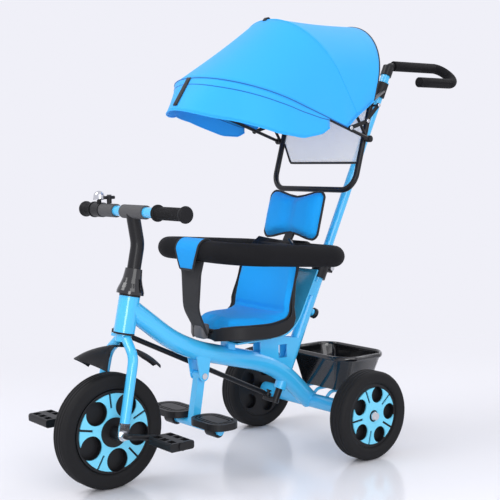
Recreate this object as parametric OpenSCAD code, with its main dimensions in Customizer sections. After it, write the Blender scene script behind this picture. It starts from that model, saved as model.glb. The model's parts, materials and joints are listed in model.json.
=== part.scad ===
// Toddler push-along trike with a steering fork, pedals, padded seat, guard ring,
// push rod with a steering handle, folding canopy, footrest and rear bin.
// Front is -Y, the rider's left is +X and +Z is up. The origin is on the ground
// under the middle of the whole part. Points are worked out from the rear axle
// and moved to the origin at the end.

/* [Wheels] */
// Distance from the rear axle to the front axle
wheelbase = 576; // [566:1:586]
// Radius of the front wheel
front_wheel_r = 125; // [122:1:128]
// Width of the front tyre
front_wheel_w = 45; // [42:1:47]
// Radius of the front rim under its tyre
front_rim_r = 90; // [88:1:96]
// Radius of a rear wheel
rear_wheel_r = 104; // [101:1:107]
// Width of a rear tyre
rear_wheel_w = 49; // [44:1:51]
// Radius of a rear rim under its tyre
rear_rim_r = 74; // [72:1:78]
// Distance from the middle plane to the middle of a rear wheel
rear_wheel_side = 205; // [203:1:212]
// Diameter of the front and rear axles
axle_d = 12; // [10:0.5:13]

/* [Steering] */
// Lean of the steering axis from upright
rake = 11.8; // [10.5:0.1:13]
// Outer diameter of the head tube
head_d = 46; // [44:1:50]
// Length of the head tube
head_len = 79; // [74:1:84]
// Height of the head tube's lower end above the front axle
head_foot = 212; // [211:1:216]
// Diameter of the fork steerer
steerer_d = 26; // [24:1:28]
// Diameter of a fork leg
fork_d = 22; // [20:1:23]
// Distance from the middle plane to a fork leg at the axle
fork_side = 57; // [55:1:60]
// Diameter of the stem
stem_d = 30; // [28:0.5:32]
// Height of the handlebar above the ground
bar_z = 592; // [585:1:600]
// Distance of the handlebar ahead of the rear axle
bar_ahead = 505; // [500:1:510]
// Diameter of the handlebar
bar_d = 23; // [21:0.5:24]
// Half the length of the handlebar
bar_half = 201; // [195:1:207]
// Length of a pedal crank
crank_len = 74; // [68:1:80]
// Slope of the left crank below level at rest
crank_turn = 10; // [0:1:20]
// Length of a pedal
pedal_len = 82; // [76:1:84]
// Depth of a pedal
pedal_deep = 60; // [52:1:64]
// Height of a pedal
pedal_high = 18; // [17:1:20]

/* [Frame] */
// Diameter of the main tube
main_d = 45; // [42:1:46]
// Distance of the main tube's front bend ahead of the rear axle
low_ahead = 384; // [378:1:390]
// Height of the main tube's front bend
low_z = 280; // [276:1:284]
// Distance of the main tube's rear bend ahead of the rear axle
rear_bend_ahead = 110; // [104:1:116]
// Height of the main tube's rear bend
rear_bend_z = 208; // [204:1:211]
// Diameter of the rear axle tube
axle_tube_d = 35; // [32:1:38]
// Half the length of the rear axle tube
axle_tube_half = 172; // [169:1:173]

/* [Push rod] */
// Lean of the push rod from upright
rod_lean = 25.65; // [25:0.05:26.2]
// Distance of the rod's foot point ahead of the rear axle
rod_ahead = 75; // [72:1:78]
// Height of the rod's foot point
rod_z = 192; // [189:1:195]
// Outer diameter of the push rod
rod_d = 23; // [22:0.5:24]
// Diameter of the steering shaft inside the rod
shaft_d = 16.9; // [16.4:0.1:17.2]
// Length of the rod above its foot point
rod_len = 796; // [785:1:800]
// Outer diameter of the rod socket on the frame
socket_d = 30; // [29:0.5:33]
// Reach of the push handle behind the rear axle
handle_reach = 495; // [470:1:510]
// Diameter of the handle's foam
handle_foam_d = 26; // [24:0.5:30]
// Length of the steering levers
lever_len = 34; // [33:0.5:36]

/* [Seat] */
// Width of the seat shell
seat_w = 232; // [220:1:240]
// Distance of the seat's front edge ahead of the rear axle
seat_ahead = 322; // [316:1:328]
// Height of the seat's upper face under the pad
seat_z = 314; // [311:1:318]
// Lean of the backrest from upright
back_lean = 15; // [12:0.5:18]
// Length of the backrest
back_len = 160; // [150:1:164]
// Thickness of the seat pad at its crown
pad_thick = 22; // [16:0.5:25]

/* [Guard ring] */
// Diameter of the ring's foam
guard_d = 50; // [44:1:52]
// Half the width of the ring between tube centres
guard_half = 162; // [156:1:168]
// Distance of the ring's front bar ahead of the rear axle
guard_ahead = 339; // [332:1:346]
// Height of the ring's front bar
guard_front_z = 498; // [490:1:506]
// Distance of the ring's rear bar ahead of the rear axle
guard_rear_ahead = 40; // [36:1:42]
// Height of the ring's rear bar
guard_rear_z = 474; // [468:1:480]

/* [Canopy] */
// Half the width of the canopy hoop between tube centres
hoop_half = 146; // [142:1:150]
// Height of the hoop's lower bar
hoop_z = 626; // [618:1:634]
// Distance of the hoop's lower bar behind the rear axle
hoop_back = 12; // [6:1:16]
// Lean of the hoop from upright
hoop_lean = 15.86; // [14.5:0.02:17]
// Length of the hoop from its lower bar to its top
hoop_len = 402; // [394:1:410]
// Height of the canopy pivots along the hoop
pivot_up = 124; // [118:1:130]
// Length of the front bow from the pivots to its crown
front_bow_len = 410; // [400:1:420]
// Direction of the front bow from straight back, through up
front_bow_turn = 160.9; // [158:0.1:163]
// Length of the middle bow from the pivots to its crown
mid_bow_len = 322; // [314:1:332]
// Direction of the middle bow from straight back, through up
mid_bow_turn = 122; // [118:0.5:126]
// Drop of the visor at its front
visor_drop = 84; // [70:1:92]

/* [Footrest and bin] */
// Distance of the footrest bolt ahead of the rear axle
foot_ahead = 335; // [330:1:340]
// Height of the footrest bolt
foot_z = 212; // [209:1:214]
// Height of the footrest pads' upper face
foot_pad_z = 128; // [122:1:134]
// Length of a footrest pad across the trike
foot_pad_len = 115; // [105:1:122]
// Depth of a footrest pad
foot_pad_deep = 75; // [66:1:78]
// Half the width of the bin over its rim
bin_half = 128; // [118:1:134]
// Depth of the bin over its rim
bin_deep = 187; // [170:1:195]
// Height of the bin's rim
bin_z = 220; // [210:1:226]

/* [Hidden] */

$fn = 64;
// Fewer sides for the corners of blended shapes
blend_fn = 32;
// Colours of the pieces
frame_blue = "#40BEFA";
canopy_blue = "#3CB9FF";
cloth_blue = "#1E9BE6";
star_blue = "#78D7F5";
soft_black = "#191A1E";
grip_grey = "#4B4B4B";
bright = "silver";
mesh_white = "#E8EAEC";

// Overrun of every cut past the face that it opens
over = 2;
// Gap between pieces that move past each other
gap = 0.3;
// Gap round a running shaft, on the radius
run = 0.05;
// Hairline where a straight run meets its bend, and half the length of the plug inside it
seam = 0.05;
plug = 0.5;
// Wall of pressed steel plates
plate = 3;

function unit(v) = v / norm(v);
function mix(a, b, t) = a + (b - a) * t;
// A point ahead of the rear axle, at a height and to one side
function yz(ahead, up, side = 0) = [side, -ahead, up];
// A direction in the middle plane, turned from straight back through up
function heading(a) = [0, cos(a), sin(a)];
function shifted(p, side) = [side, p[1], p[2]];
// A number that runs smoothly from 0 to 1
function ease(t) = t <= 0 ? 0 : t >= 1 ? 1 : t * t * (3 - 2 * t);
function bump(t) = max(0, 1 - t * t);

axle_r = axle_d / 2;
rear_axle_y = (wheelbase + front_wheel_r - handle_reach) / 2;
front_axle = yz(wheelbase, front_wheel_r);
rear_axle_at = yz(0, rear_wheel_r);
steer_up = heading(90 - rake);
function axis(s, side = 0) = front_axle + s * steer_up + [side, 0, 0];
rod_up = heading(90 - rod_lean);
rod_back = heading(-rod_lean);
rod_r = rod_d / 2;
shaft_r = shaft_d / 2;
rod_bore_r = shaft_r + run;
function rod_at(t, side = 0) = yz(rod_ahead, rod_z) + t * rod_up + [side, 0, 0];
hoop_up = heading(90 - hoop_lean);
hoop_foot = yz(-hoop_back, hoop_z);
pivot = hoop_foot + pivot_up * hoop_up;

module on_axle() translate([0, rear_axle_y, 0]) children();
module mirrored() {
  children();
  mirror([1, 0, 0]) children();
}
// Moves a shape to a place with its own three directions
module stand(o, x, y, z)
  multmatrix([[x[0], y[0], z[0], o[0]], [x[1], y[1], z[1], o[1]], [x[2], y[2], z[2], o[2]], [0, 0, 0, 1]])
    children();
// The direction that a strip's width takes, across the trike where it can
function across(d) = abs(d[0]) > 0.95 ? unit([0, 1, 0] - d * d[1]) : unit([1, 0, 0] - d * d[0]);
module along(p, q) {
  d = unit(q - p);
  y = across(d);
  stand(p, cross(y, d), y, d) children();
}
module rod(p, q, r) along(p, q) cylinder(r = r, h = norm(q - p));
module crossways(p, half, r) rod(p - [half, 0, 0], p + [half, 0, 0], r);
// A shape drawn in the middle plane, as back and up, and given a width across
module slab(width, side = 0)
  stand([side - width / 2, 0, 0], [0, 1, 0], [0, 0, 1], [1, 0, 0]) linear_extrude(width) children();

// A section swept along straight runs that are joined by true arcs. The first
// child is the section, the second a slightly smaller one that joins each run
// to its bend across a hairline seam
module bent(p, radii, closed = false) {
  n = len(p);
  runs = closed ? n : n - 1;
  d = [for (i = [0:runs - 1]) unit(p[(i + 1) % n] - p[i])];
  bends = closed ? [for (i = [0:n - 1]) i] : [for (i = [1:n - 2]) i];
  way = [for (i = [0:n - 1]) let (k = (i + n - 1) % n)
    closed || (i > 0 && i < n - 1) ? [d[k], d[i]] : [d[0], d[0]]];
  r = [for (i = [0:n - 1]) closed ? radii[i] : i == 0 || i == n - 1 ? 0 : radii[i - 1]];
  turn = [for (i = [0:n - 1]) r[i] == 0 ? 0 : acos(way[i][0] * way[i][1])];
  back = [for (i = [0:n - 1]) r[i] == 0 ? 0 : r[i] * tan(turn[i] / 2) + seam / 2];
  for (i = [0:runs - 1]) {
    q = p[(i + 1) % n];
    along(p[i] + d[i] * back[i], q) linear_extrude(norm(q - p[i]) - back[i] - back[(i + 1) % n])
      children(0);
  }
  for (i = bends) {
    in = unit(way[i][1] - way[i][0] * (way[i][0] * way[i][1]));
    from = p[i] - way[i][0] * (back[i] - seam / 2);
    stand(from + in * r[i], -in, way[i][0], cross(-in, way[i][0]))
      rotate_extrude(angle = turn[i]) translate([r[i], 0]) children(0);
    for (k = [0, 1]) {
      at = p[i] + way[i][k] * (k == 0 ? -back[i] : back[i]);
      along(at - way[i][k] * plug, at + way[i][k] * plug) linear_extrude(2 * plug) children(1);
    }
  }
}
// A bent tube or bar of round section
module bent_rod(p, radii, r, closed = false) bent(p, radii, closed) {
  circle(r);
  circle(r - seam);
}
module bent_tube(p, radii, r, bore, closed = false) bent(p, radii, closed) {
  ring2d(r, bore);
  ring2d(r - seam, bore + seam);
}
module bent_strip(p, radii, t, w) bent(p, radii) {
  square([t, w], center = true);
  square([t - 2 * seam, w - 2 * seam], center = true);
}
module ring2d(outer, inner) difference() {
  circle(outer);
  circle(inner);
}
// The corners of a rectangle with round corners, about its middle
function round_box(w, h, r, n = 6) = [
  for (q = [0:3], i = [0:n])
    let (a = 90 * (q + i / n), sx = q == 0 || q == 3 ? 1 : -1, sy = q < 2 ? 1 : -1)
      [sx * (w / 2 - r) + r * cos(a), sy * (h / 2 - r) + r * sin(a)]
];

// A closed sheet between two grids of points; the first lies on the side that
// the rows' direction crossed with the columns' direction points to
module quilt(top, under) {
  rows = len(top);
  cols = len(top[0]);
  n = rows * cols;
  upper = [for (i = [0:rows - 2], j = [0:cols - 2]) let (k = i * cols + j)
    each [[k, k + 1, k + cols + 1], [k, k + cols + 1, k + cols]]];
  rim = concat(
    [for (j = [0:cols - 1]) j],
    [for (i = [1:rows - 1]) i * cols + cols - 1],
    [for (j = [1:cols - 1]) (rows - 1) * cols + cols - 1 - j],
    [for (i = [1:rows - 2]) (rows - 1 - i) * cols]);
  m = len(rim);
  edge = [for (i = [0:m - 1]) let (a = rim[i], b = rim[(i + 1) % m])
    each [[b, a, a + n], [b, a + n, b + n]]];
  polyhedron(
    points = concat([for (r = top) each r], [for (r = under) each r]),
    faces = concat(upper, [for (f = upper) [f[2] + n, f[1] + n, f[0] + n]], edge));
}

// One point of an upturned U, by its share of the way from foot to foot:
// the side and the rise
function arch(half, rise, corner, start, share) =
  let (leg = rise - corner - start, bend = PI / 2 * corner, top = half - corner,
    whole = leg + bend + top, s = whole * (1 - abs(2 * share - 1)), hand = share < 0.5 ? 1 : -1)
  s <= leg ? [hand * half, start + s]
  : s <= leg + bend
    ? let (a = (s - leg) / bend * 90) [hand * (top + corner * cos(a)), rise - corner + corner * sin(a)]
  : [hand * (top - (s - leg - bend)), rise];

// Sizes of the wheels
tyre_edge = 10;
tread_r = 2.5;
tread_shares = [-0.22, 0, 0.22];
hub_proud = 2;
star_t = 3;
opening_floor = 8;
front_hub_r = 32;
front_boss_r = 14;
fork_end_t = 6;
front_star_r = 84;
front_open_r = 26;
front_open_at = 62;
front_phase = 60;
rear_hub_r = 13.5;
rear_boss_r = 12;
rear_star_r = 66;
rear_open_r = 19;
rear_open_at = 50;
rear_phase = 4;
rear_star_out = 19.5;
slot_w = 5;
slot_len = 30;
cap_r = 11;
cap_len = 10;
cap_shares = [[1, 0], [1, 0.5], [0.8, 0.85], [0.4, 1], [0, 1]];
spokes = 5;

module about_x(p) stand(p, [0, 1, 0], [0, 0, 1], [1, 0, 0]) children();
module spread(at, phase) for (k = [0:spokes - 1]) rotate(phase + 360 / spokes * k) translate([at, 0])
  children();

module tyre(r, w, rim_r) rotate_extrude() difference() {
  translate([(r + rim_r) / 2, 0]) polygon(round_box(r - rim_r, w, tyre_edge));
  for (share = tread_shares) translate([r + tread_r / 3, w * share]) circle(tread_r, $fn = blend_fn);
}
// The black rim: a disc with a hub, and blind openings between the spokes
module wheel_core(rim_r, face, hub_r, boss_r, low_step, low, high_step, high, open_r, open_at, phase)
difference() {
  rotate_extrude() polygon([
    [axle_r + run, -low], [boss_r, -low], [boss_r, -low_step], [hub_r, -low_step], [hub_r, -face],
    [rim_r - run, -face], [rim_r - run, face], [hub_r, face], [hub_r, high_step], [boss_r, high_step],
    [boss_r, high], [axle_r + run, high]]);
  spread(open_at, phase) for (side = [0, 1]) mirror([0, 0, side])
    translate([0, 0, opening_floor / 2]) cylinder(r = open_r - gap, h = face + over);
}
// The coloured cover: spokes between round openings, each with a slot
module wheel_star(r, hub_r, open_r, open_at, phase) linear_extrude(star_t) difference() {
  circle(r);
  circle(hub_r + gap);
  spread(open_at, phase) circle(open_r);
  spread(r - slot_len / 2, phase + 180 / spokes) square([slot_len + over, slot_w], center = true);
}

front_face = front_wheel_w / 2 - star_t;
front_hub_half = front_wheel_w / 2 + hub_proud;
front_boss_half = fork_side - fork_end_t / 2 - gap;
rear_face = rear_star_out - star_t;

module front_tyre() color(soft_black) on_axle() about_x(front_axle)
  tyre(front_wheel_r, front_wheel_w, front_rim_r);
module front_core() color(soft_black) on_axle() about_x(front_axle)
  wheel_core(front_rim_r, front_face, front_hub_r, front_boss_r, front_hub_half, front_boss_half,
    front_hub_half, front_boss_half, front_open_r, front_open_at, front_phase);
module front_stars() color(star_blue) on_axle() about_x(front_axle) for (side = [0, 1]) mirror([0, 0, side])
  translate([0, 0, front_face])
    wheel_star(front_star_r, front_hub_r, front_open_r, front_open_at, front_phase);

module rear_left() on_axle() about_x(shifted(rear_axle_at, rear_wheel_side)) children();
module rear_right() mirror([1, 0, 0]) rear_left() children();
module rear_tyre() tyre(rear_wheel_r, rear_wheel_w, rear_rim_r);
module rear_core() wheel_core(rear_rim_r, rear_face, rear_hub_r, rear_boss_r, rear_face + hub_proud,
  rear_wheel_side - axle_tube_half - gap, rear_face + star_t / 2, rear_star_out,
  rear_open_r, rear_open_at, rear_phase);
module rear_star() translate([0, 0, rear_face])
  wheel_star(rear_star_r, rear_hub_r, rear_open_r, rear_open_at, rear_phase);
module rear_tyre_left() color(soft_black) rear_left() rear_tyre();
module rear_core_left() color(soft_black) rear_left() rear_core();
module rear_star_left() color(star_blue) rear_left() rear_star();
module rear_tyre_right() color(soft_black) rear_right() rear_tyre();
module rear_core_right() color(soft_black) rear_right() rear_core();
module rear_star_right() color(star_blue) rear_right() rear_star();

cap_side = rear_wheel_side + rear_star_out + gap;
module rear_axle() color(bright) on_axle() crossways(rear_axle_at, cap_side + cap_len / 2, axle_r);
module axle_caps() color(bright) on_axle() mirrored() about_x(shifted(rear_axle_at, cap_side))
  rotate_extrude() polygon(concat(
    [[axle_r + run, 0]], [for (s = cap_shares) [cap_r * s[0], cap_len * s[1]]],
    [[0, cap_len / 2 + run], [axle_r + run, cap_len / 2 + run]]));

// Sizes of the frame
main_top = 268;
low_bend_r = 370;
rear_bend_r = 284;
bush_wall = 4;
bush_flange = 4;
bush_len = 18;
bush_r = steerer_d / 2 + run + bush_wall;
hanger_side = 18;
hanger_half = 20;
hanger_eye_r = 12;
hanger_rise = 48;
foot_bolt_r = 4;
foot_bolt_head_r = 7;
foot_bolt_head = 3;
carrier_r = 4;
carrier_side = 48;
carrier_z = 128;
carrier_rise = 28;
carrier_bend_r = 20;
carrier_reach = 172;
carrier_cross = 120;
socket_foot = -52;
socket_seat = 30;
socket_top = 264;
lock_t = 154;
lock_boss_r = 9;
lock_boss_out = 21;
lock_pin_r = 4;
lock_tip = 10.6;
lock_head_r = 13;
lock_head = 14;
lock_head_shares = [[0.8, 0], [1, 0.2], [1, 0.7], [0.6, 1], [0, 1]];

foot_bolt_at = yz(foot_ahead, foot_z);
lock_at = rod_at(lock_t);

module main_frame() color(frame_blue) on_axle() difference() {
  union() {
    rod(axis(head_foot), axis(head_foot + head_len), head_d / 2);
    bent_rod([axis(main_top), yz(low_ahead, low_z), yz(rear_bend_ahead, rear_bend_z), rear_axle_at],
      [low_bend_r, rear_bend_r], main_d / 2);
    crossways(rear_axle_at, axle_tube_half, axle_tube_d / 2);
    rod(rod_at(socket_foot), rod_at(socket_top), socket_d / 2);
    rod(lock_at, lock_at + lock_boss_out * rod_back, lock_boss_r);
    mirrored() slab(plate, hanger_side) {
      polygon([
        [-foot_ahead - hanger_half, foot_z + hanger_rise], [-foot_ahead - hanger_eye_r, foot_z],
        [-foot_ahead + hanger_eye_r, foot_z], [-foot_ahead + hanger_half, foot_z + hanger_rise]]);
      translate([-foot_ahead, foot_z]) circle(hanger_eye_r);
    }
    mirrored() slab(gusset_t, gusset_side) {
      difference() {
        polygon([
          [-gusset_ahead, gusset_top], [-gusset_ahead + gusset_seat, gusset_top],
            flat(rod_at(gusset_rod_t)),
          flat(rod_at(0)), [-rear_bend_ahead, rear_bend_z], [-gusset_ahead, rear_bend_z + main_d / 2]]);
        translate([-window_ahead, window_z]) square([window_w, window_h], center = true);
      }
      polygon([flat(strip_back(strut_low)), flat(strip_back(strut_high)), flat(rod_at(strut_top_t)),
        flat(rod_at(strut_foot_t))]);
    }
    translate([-lug_half, -lug_ahead, low_z - main_d])
      cube([2 * lug_half, lug_len, gusset_top - low_z + main_d]);
    for (side = [-carrier_side, 0, carrier_side])
      bent_rod([shifted(rear_axle_at, side), yz(-carrier_rise, carrier_z, side),
        yz(-carrier_reach, carrier_z, side)],
        [carrier_bend_r], carrier_r);
    crossways(yz(-carrier_cross, carrier_z - carrier_r), carrier_side + 2 * carrier_r, carrier_r);
  }
  rod(axis(head_foot - over), axis(head_foot + head_len + over), bush_r + run);
  crossways(rear_axle_at, axle_tube_half + over, axle_r + run);
  rod(rod_at(socket_seat), rod_at(socket_top + over), rod_r + run);
  rod(rod_at(socket_foot - over), rod_at(socket_top), rod_bore_r);
  rod(lock_at, lock_at + (lock_boss_out + over) * rod_back, lock_pin_r + run);
  crossways(foot_bolt_at, hanger_side + 2 * plate, foot_bolt_r + run);
}

// Flanged bushes at both ends of the head tube
module bush(s, way) stand(axis(s), [way, 0, 0], cross(steer_up, [1, 0, 0]), steer_up * way)
  rotate_extrude() polygon([
    [steerer_d / 2 + run, -bush_flange], [head_d / 2, -bush_flange], [head_d / 2, 0], [bush_r, 0],
    [bush_r, bush_len], [steerer_d / 2 + run, bush_len]]);
module head_bushes() color(soft_black) on_axle() {
  bush(head_foot, 1);
  bush(head_foot + head_len, -1);
}

module footrest_bolt() color(bright) on_axle() {
  crossways(foot_bolt_at, hanger_side + plate / 2 + foot_bolt_head, foot_bolt_r);
  mirrored() rod(shifted(foot_bolt_at, hanger_side + plate / 2),
    shifted(foot_bolt_at, hanger_side + plate / 2 + foot_bolt_head), foot_bolt_head_r);
}

// Sizes of the push rod, its clamp and its button
button_t = 780;
button_r = 5;
button_out = 4;
clamp_foot = 238;
clamp_top = 282;
clamp_wall = 5;
clamp_lug = 13;
clamp_lug_w = 26;
clamp_lug_t = 20;
clamp_bolt_r = 3;
clamp_bolt_head_r = 6;
clamp_bolt_head = 4;
clamp_slit = 3;
clamp_r = socket_d / 2 + clamp_wall;
clamp_mid = (socket_top + clamp_top) / 2;

module push_rod() color(frame_blue) on_axle() difference() {
  union() {
    rod(rod_at(socket_seat), rod_at(rod_len), rod_r);
    rod(rod_at(button_t), rod_at(button_t) + (rod_r + button_out) * rod_back, button_r);
  }
  rod(rod_at(socket_seat - over), rod_at(rod_len + over), rod_bore_r);
  rod(lock_at, lock_at + (rod_r + over) * rod_back, lock_pin_r + gap);
}
clamp_lug_at = rod_at(clamp_mid) + (clamp_r + clamp_lug / 2 - clamp_wall) * rod_back;
module rod_clamp() color(soft_black) on_axle() difference() {
  union() {
    rod(rod_at(clamp_foot), rod_at(clamp_top), clamp_r);
    stand(clamp_lug_at, [1, 0, 0], cross(rod_up, [1, 0, 0]), rod_up)
      cube([clamp_lug_w, clamp_lug + clamp_wall, clamp_lug_t], center = true);
  }
  rod(rod_at(clamp_foot - over), rod_at(socket_top + gap), socket_d / 2 + run);
  rod(rod_at(socket_top), rod_at(clamp_top + over), rod_r + run);
  stand(clamp_lug_at, [1, 0, 0], cross(rod_up, [1, 0, 0]), rod_up)
    cube([clamp_slit, clamp_lug + 2 * clamp_wall, clamp_top - clamp_foot + clamp_lug_t], center = true);
  crossways(clamp_lug_at + clamp_wall / 2 * rod_back, clamp_lug_w, clamp_bolt_r + run);
}
module clamp_bolt() color(bright) on_axle() {
  crossways(clamp_lug_at + clamp_wall / 2 * rod_back, clamp_lug_w / 2 + clamp_bolt_head, clamp_bolt_r);
  mirrored() rod(shifted(clamp_lug_at + clamp_wall / 2 * rod_back, clamp_lug_w / 2),
    shifted(clamp_lug_at + clamp_wall / 2 * rod_back, clamp_lug_w / 2 + clamp_bolt_head),
      clamp_bolt_head_r);
}
module lock_knob() color(soft_black) on_axle() along(lock_at, lock_at + rod_back) rotate_extrude()
  polygon(concat(
    [[0, lock_tip], [lock_pin_r, lock_tip], [lock_pin_r, lock_boss_out + gap]],
    [for (s = lock_head_shares) [lock_head_r * s[0], lock_boss_out + gap + lock_head * s[1]]]));

// Sizes of the steering handle at the top of the push rod
lever_t = 7;
lever_eye_r = 9;
lever_root_r = 9.2;
crown_step = 0.5;
link_pin_r = 4;
link_slack = 0.7;
link_lift = 4;
link_eye_h = 8;
pin_head_r = 6.5;
pin_head = 3;
handle_r = 8.5;
handle_bend_r = 14;
handle_corner_r = 33;
handle_side = 55;
handle_fall = 43;
handle_ahead = 342;
foam_gap = 16;
handle_z = 936;
collar_len = 26;

crown_top = head_foot - bush_flange - gap;
link_up = crown_top + gap + link_eye_h / 2;
link_front = axis(link_up, -lever_len);
link_t = (link_front - yz(rod_ahead, rod_z)) * rod_up;
link_rear = rod_at(link_t, -lever_len);
lever_top = link_t - link_eye_h / 2 - link_lift;
pin_top = link_t + link_eye_h / 2 + link_lift;
handle_turn_t = (handle_z - rod_z) / cos(rod_lean);
handle_foot = rod_at(handle_turn_t);
handle_far = yz(-handle_reach + handle_foam_d / 2, handle_z);
handle_back = shifted(handle_far, handle_side) - [0, 0, handle_fall];
handle_end = yz(-handle_ahead, handle_z - handle_fall, handle_side);

// A flat lever to the right, with a round eye under its pin
module lever_plate() linear_extrude(lever_t) {
  translate([-lever_len, -lever_eye_r]) square([lever_len, 2 * lever_eye_r]);
  translate([-lever_len, 0]) circle(lever_eye_r);
  circle(lever_root_r);
}
module handle_shaft() color(soft_black) on_axle() {
  bent_rod([rod_at(handle_turn_t - 2 * handle_bend_r), handle_foot, handle_far, handle_back, handle_end],
    [handle_bend_r, handle_corner_r, handle_corner_r], handle_r);
  rod(rod_at(lever_top - lever_t / 2), rod_at(rod_len + collar_len / 2), shaft_r);
  rod(rod_at(rod_len + gap), rod_at(rod_len + gap + collar_len), rod_r + plate);
  stand(rod_at(lever_top - lever_t), [1, 0, 0], cross(rod_up, [1, 0, 0]), rod_up) lever_plate();
  rod(rod_at(lever_top - lever_t / 2, -lever_len), rod_at(pin_top + pin_head / 2, -lever_len), link_pin_r);
  rod(rod_at(pin_top, -lever_len), rod_at(pin_top + pin_head, -lever_len), pin_head_r);
}
module handle_foam() color(soft_black) on_axle() {
  bent_tube([handle_foot + [0, foam_gap, 0], handle_far, handle_back, handle_end],
    [handle_corner_r, handle_corner_r], handle_foam_d / 2, handle_r + gap);
  rod(handle_end - [0, run, 0], handle_end - [0, handle_foam_d / 4, 0], handle_foam_d / 2);
}

// The tie rod that carries the handle's turn to the fork
link_r = 6;
link_tongue = 20;
link_neck = 14;
link_way = unit(link_rear - link_front);
module link_eye(at, up, way) {
  x = unit(way - up * (way * up));
  stand(at, x, cross(up, x), up) {
    translate([0, 0, -link_eye_h / 2]) cylinder(r = lever_eye_r, h = link_eye_h);
    translate([0, -link_r, -link_eye_h / 2]) cube([link_tongue, 2 * link_r, link_eye_h]);
  }
}
module steering_link() color(soft_black) on_axle() difference() {
  union() {
    link_eye(link_front, steer_up, link_way);
    link_eye(link_rear, rod_up, -link_way);
    rod(link_front + link_neck * link_way, link_rear - link_neck * link_way, link_r);
  }
  rod(link_front - link_eye_h * steer_up, link_front + link_eye_h * steer_up, link_pin_r + run);
  rod(link_rear - link_eye_h * rod_up, link_rear + link_eye_h * rod_up, link_pin_r + link_slack);
}

// Sizes of the fork, the front mudguard and the pedals
crown_r = 17;
crown_foot = 192;
crown_up = 207;
crown_side = 4;
knee_up = 165;
knee_side = 52;
knee_r = 40;
leg_foot = 26;
steerer_top = 345;
fork_end_w = 24;
nut_r = 10;
nut_len = 8;
fender_r = 181;
fender_t = 2.5;
fender_boss_r = 5;
fender_rear = 44;
fender_front = 114;
fender_half = 46;
fender_skirt = 44;
fender_w_shares = [[0, 0.36], [0.18, 0.5], [0.36, 0.26], [0.62, 0.26], [0.8, 1], [0.92, 0.78], [1, 0.36]];
fender_skirt_shares = [[0, 0.16], [0.18, 0.2], [0.36, 0], [0.62, 0], [0.8, 1], [0.92, 0.5], [1, 0.1]];
fender_rows = 20;
fender_cols = 8;
crank_bend_r = 9;
pedal_collar = 2;
pedal_collar_r = 9;
pedal_edge = 5;
pedal_wall = 6;
pedal_boss = 3;
pedal_bays = 3;

module fork() color(frame_blue) on_axle() {
  difference() {
    union() {
      mirrored() bent_rod([axis(leg_foot, fork_side), axis(knee_up, knee_side), axis(crown_up, crown_side)],
        [knee_r], fork_d / 2);
      rod(axis(crown_foot), axis(crown_top + over), crown_r);
      stand(axis(crown_top - crown_step - lever_t), [1, 0, 0], cross(steer_up, [1, 0, 0]), steer_up)
        lever_plate();
    }
    rod(axis(crown_top), axis(crown_top + fork_d), head_d);
    rod(axis(fender_r), axis(crown_foot + gap), fender_boss_r + gap);
  }
  rod(axis(crown_up - crown_r / 2), axis(steerer_top), steerer_d / 2);
  rod(axis(crown_top - crown_step - lever_t / 2, -lever_len),
    axis(link_up + link_eye_h / 2 + gap + pin_head / 2, -lever_len), link_pin_r);
  rod(axis(link_up + link_eye_h / 2 + gap, -lever_len),
    axis(link_up + link_eye_h / 2 + gap + pin_head, -lever_len), pin_head_r);
}
module fork_ends() color(bright) on_axle() mirrored() difference() {
  union() {
    stand(axis(0, fork_side - fork_end_t / 2), cross(steer_up, [1, 0, 0]), steer_up, [1, 0, 0])
      linear_extrude(fork_end_t) {
        translate([-fork_end_w / 2, 0]) square([fork_end_w, leg_foot]);
        circle(fork_end_w / 2);
      }
    about_x(shifted(front_axle, fork_side)) cylinder(r = nut_r, h = fork_end_t / 2 + nut_len, $fn = 6);
  }
  crossways(front_axle, fork_side + 2 * nut_len, axle_r + run);
}

function fender_at(u, v, r) =
  let (a = mix(fender_rear, fender_front, u), half = fender_half * lookup(u, fender_w_shares),
    fall = fender_skirt * lookup(u, fender_skirt_shares) * pow(abs(v), 2.2))
  front_axle + (r - fall) * heading(a) + [half * v, 0, 0];
function fender_grid(r) = [for (i = [0:fender_rows]) [for (j = [0:fender_cols])
  fender_at(i / fender_rows, 2 * j / fender_cols - 1, r)]];
module fender() color(soft_black) on_axle() {
  quilt(fender_grid(fender_r + fender_t), fender_grid(fender_r));
  rod(axis(fender_r), axis(crown_foot), fender_boss_r);
}

crank_side = fork_side + fork_end_t / 2 + nut_len + gap + crank_bend_r;
pedal_foot = crank_side + crank_bend_r + pedal_collar + gap;
pedal_end = pedal_foot + pedal_len + gap;
crank_way = crank_len * heading(-crank_turn);
left_pedal_at = front_axle + crank_way;
right_pedal_at = front_axle - crank_way;
module crank() color(bright) on_axle() {
  bent_rod([
    shifted(right_pedal_at, -pedal_end - pedal_collar), shifted(right_pedal_at, -crank_side),
    shifted(front_axle, -crank_side), shifted(front_axle, crank_side),
    shifted(left_pedal_at, crank_side), shifted(left_pedal_at, pedal_end + pedal_collar)],
    [crank_bend_r, crank_bend_r, crank_bend_r, crank_bend_r], axle_r);
  for (at = [pedal_foot - gap - pedal_collar, pedal_end]) {
    about_x(shifted(left_pedal_at, at)) cylinder(r = pedal_collar_r, h = pedal_collar);
    about_x(shifted(right_pedal_at, -at - pedal_collar)) cylinder(r = pedal_collar_r, h = pedal_collar);
  }
}
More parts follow.
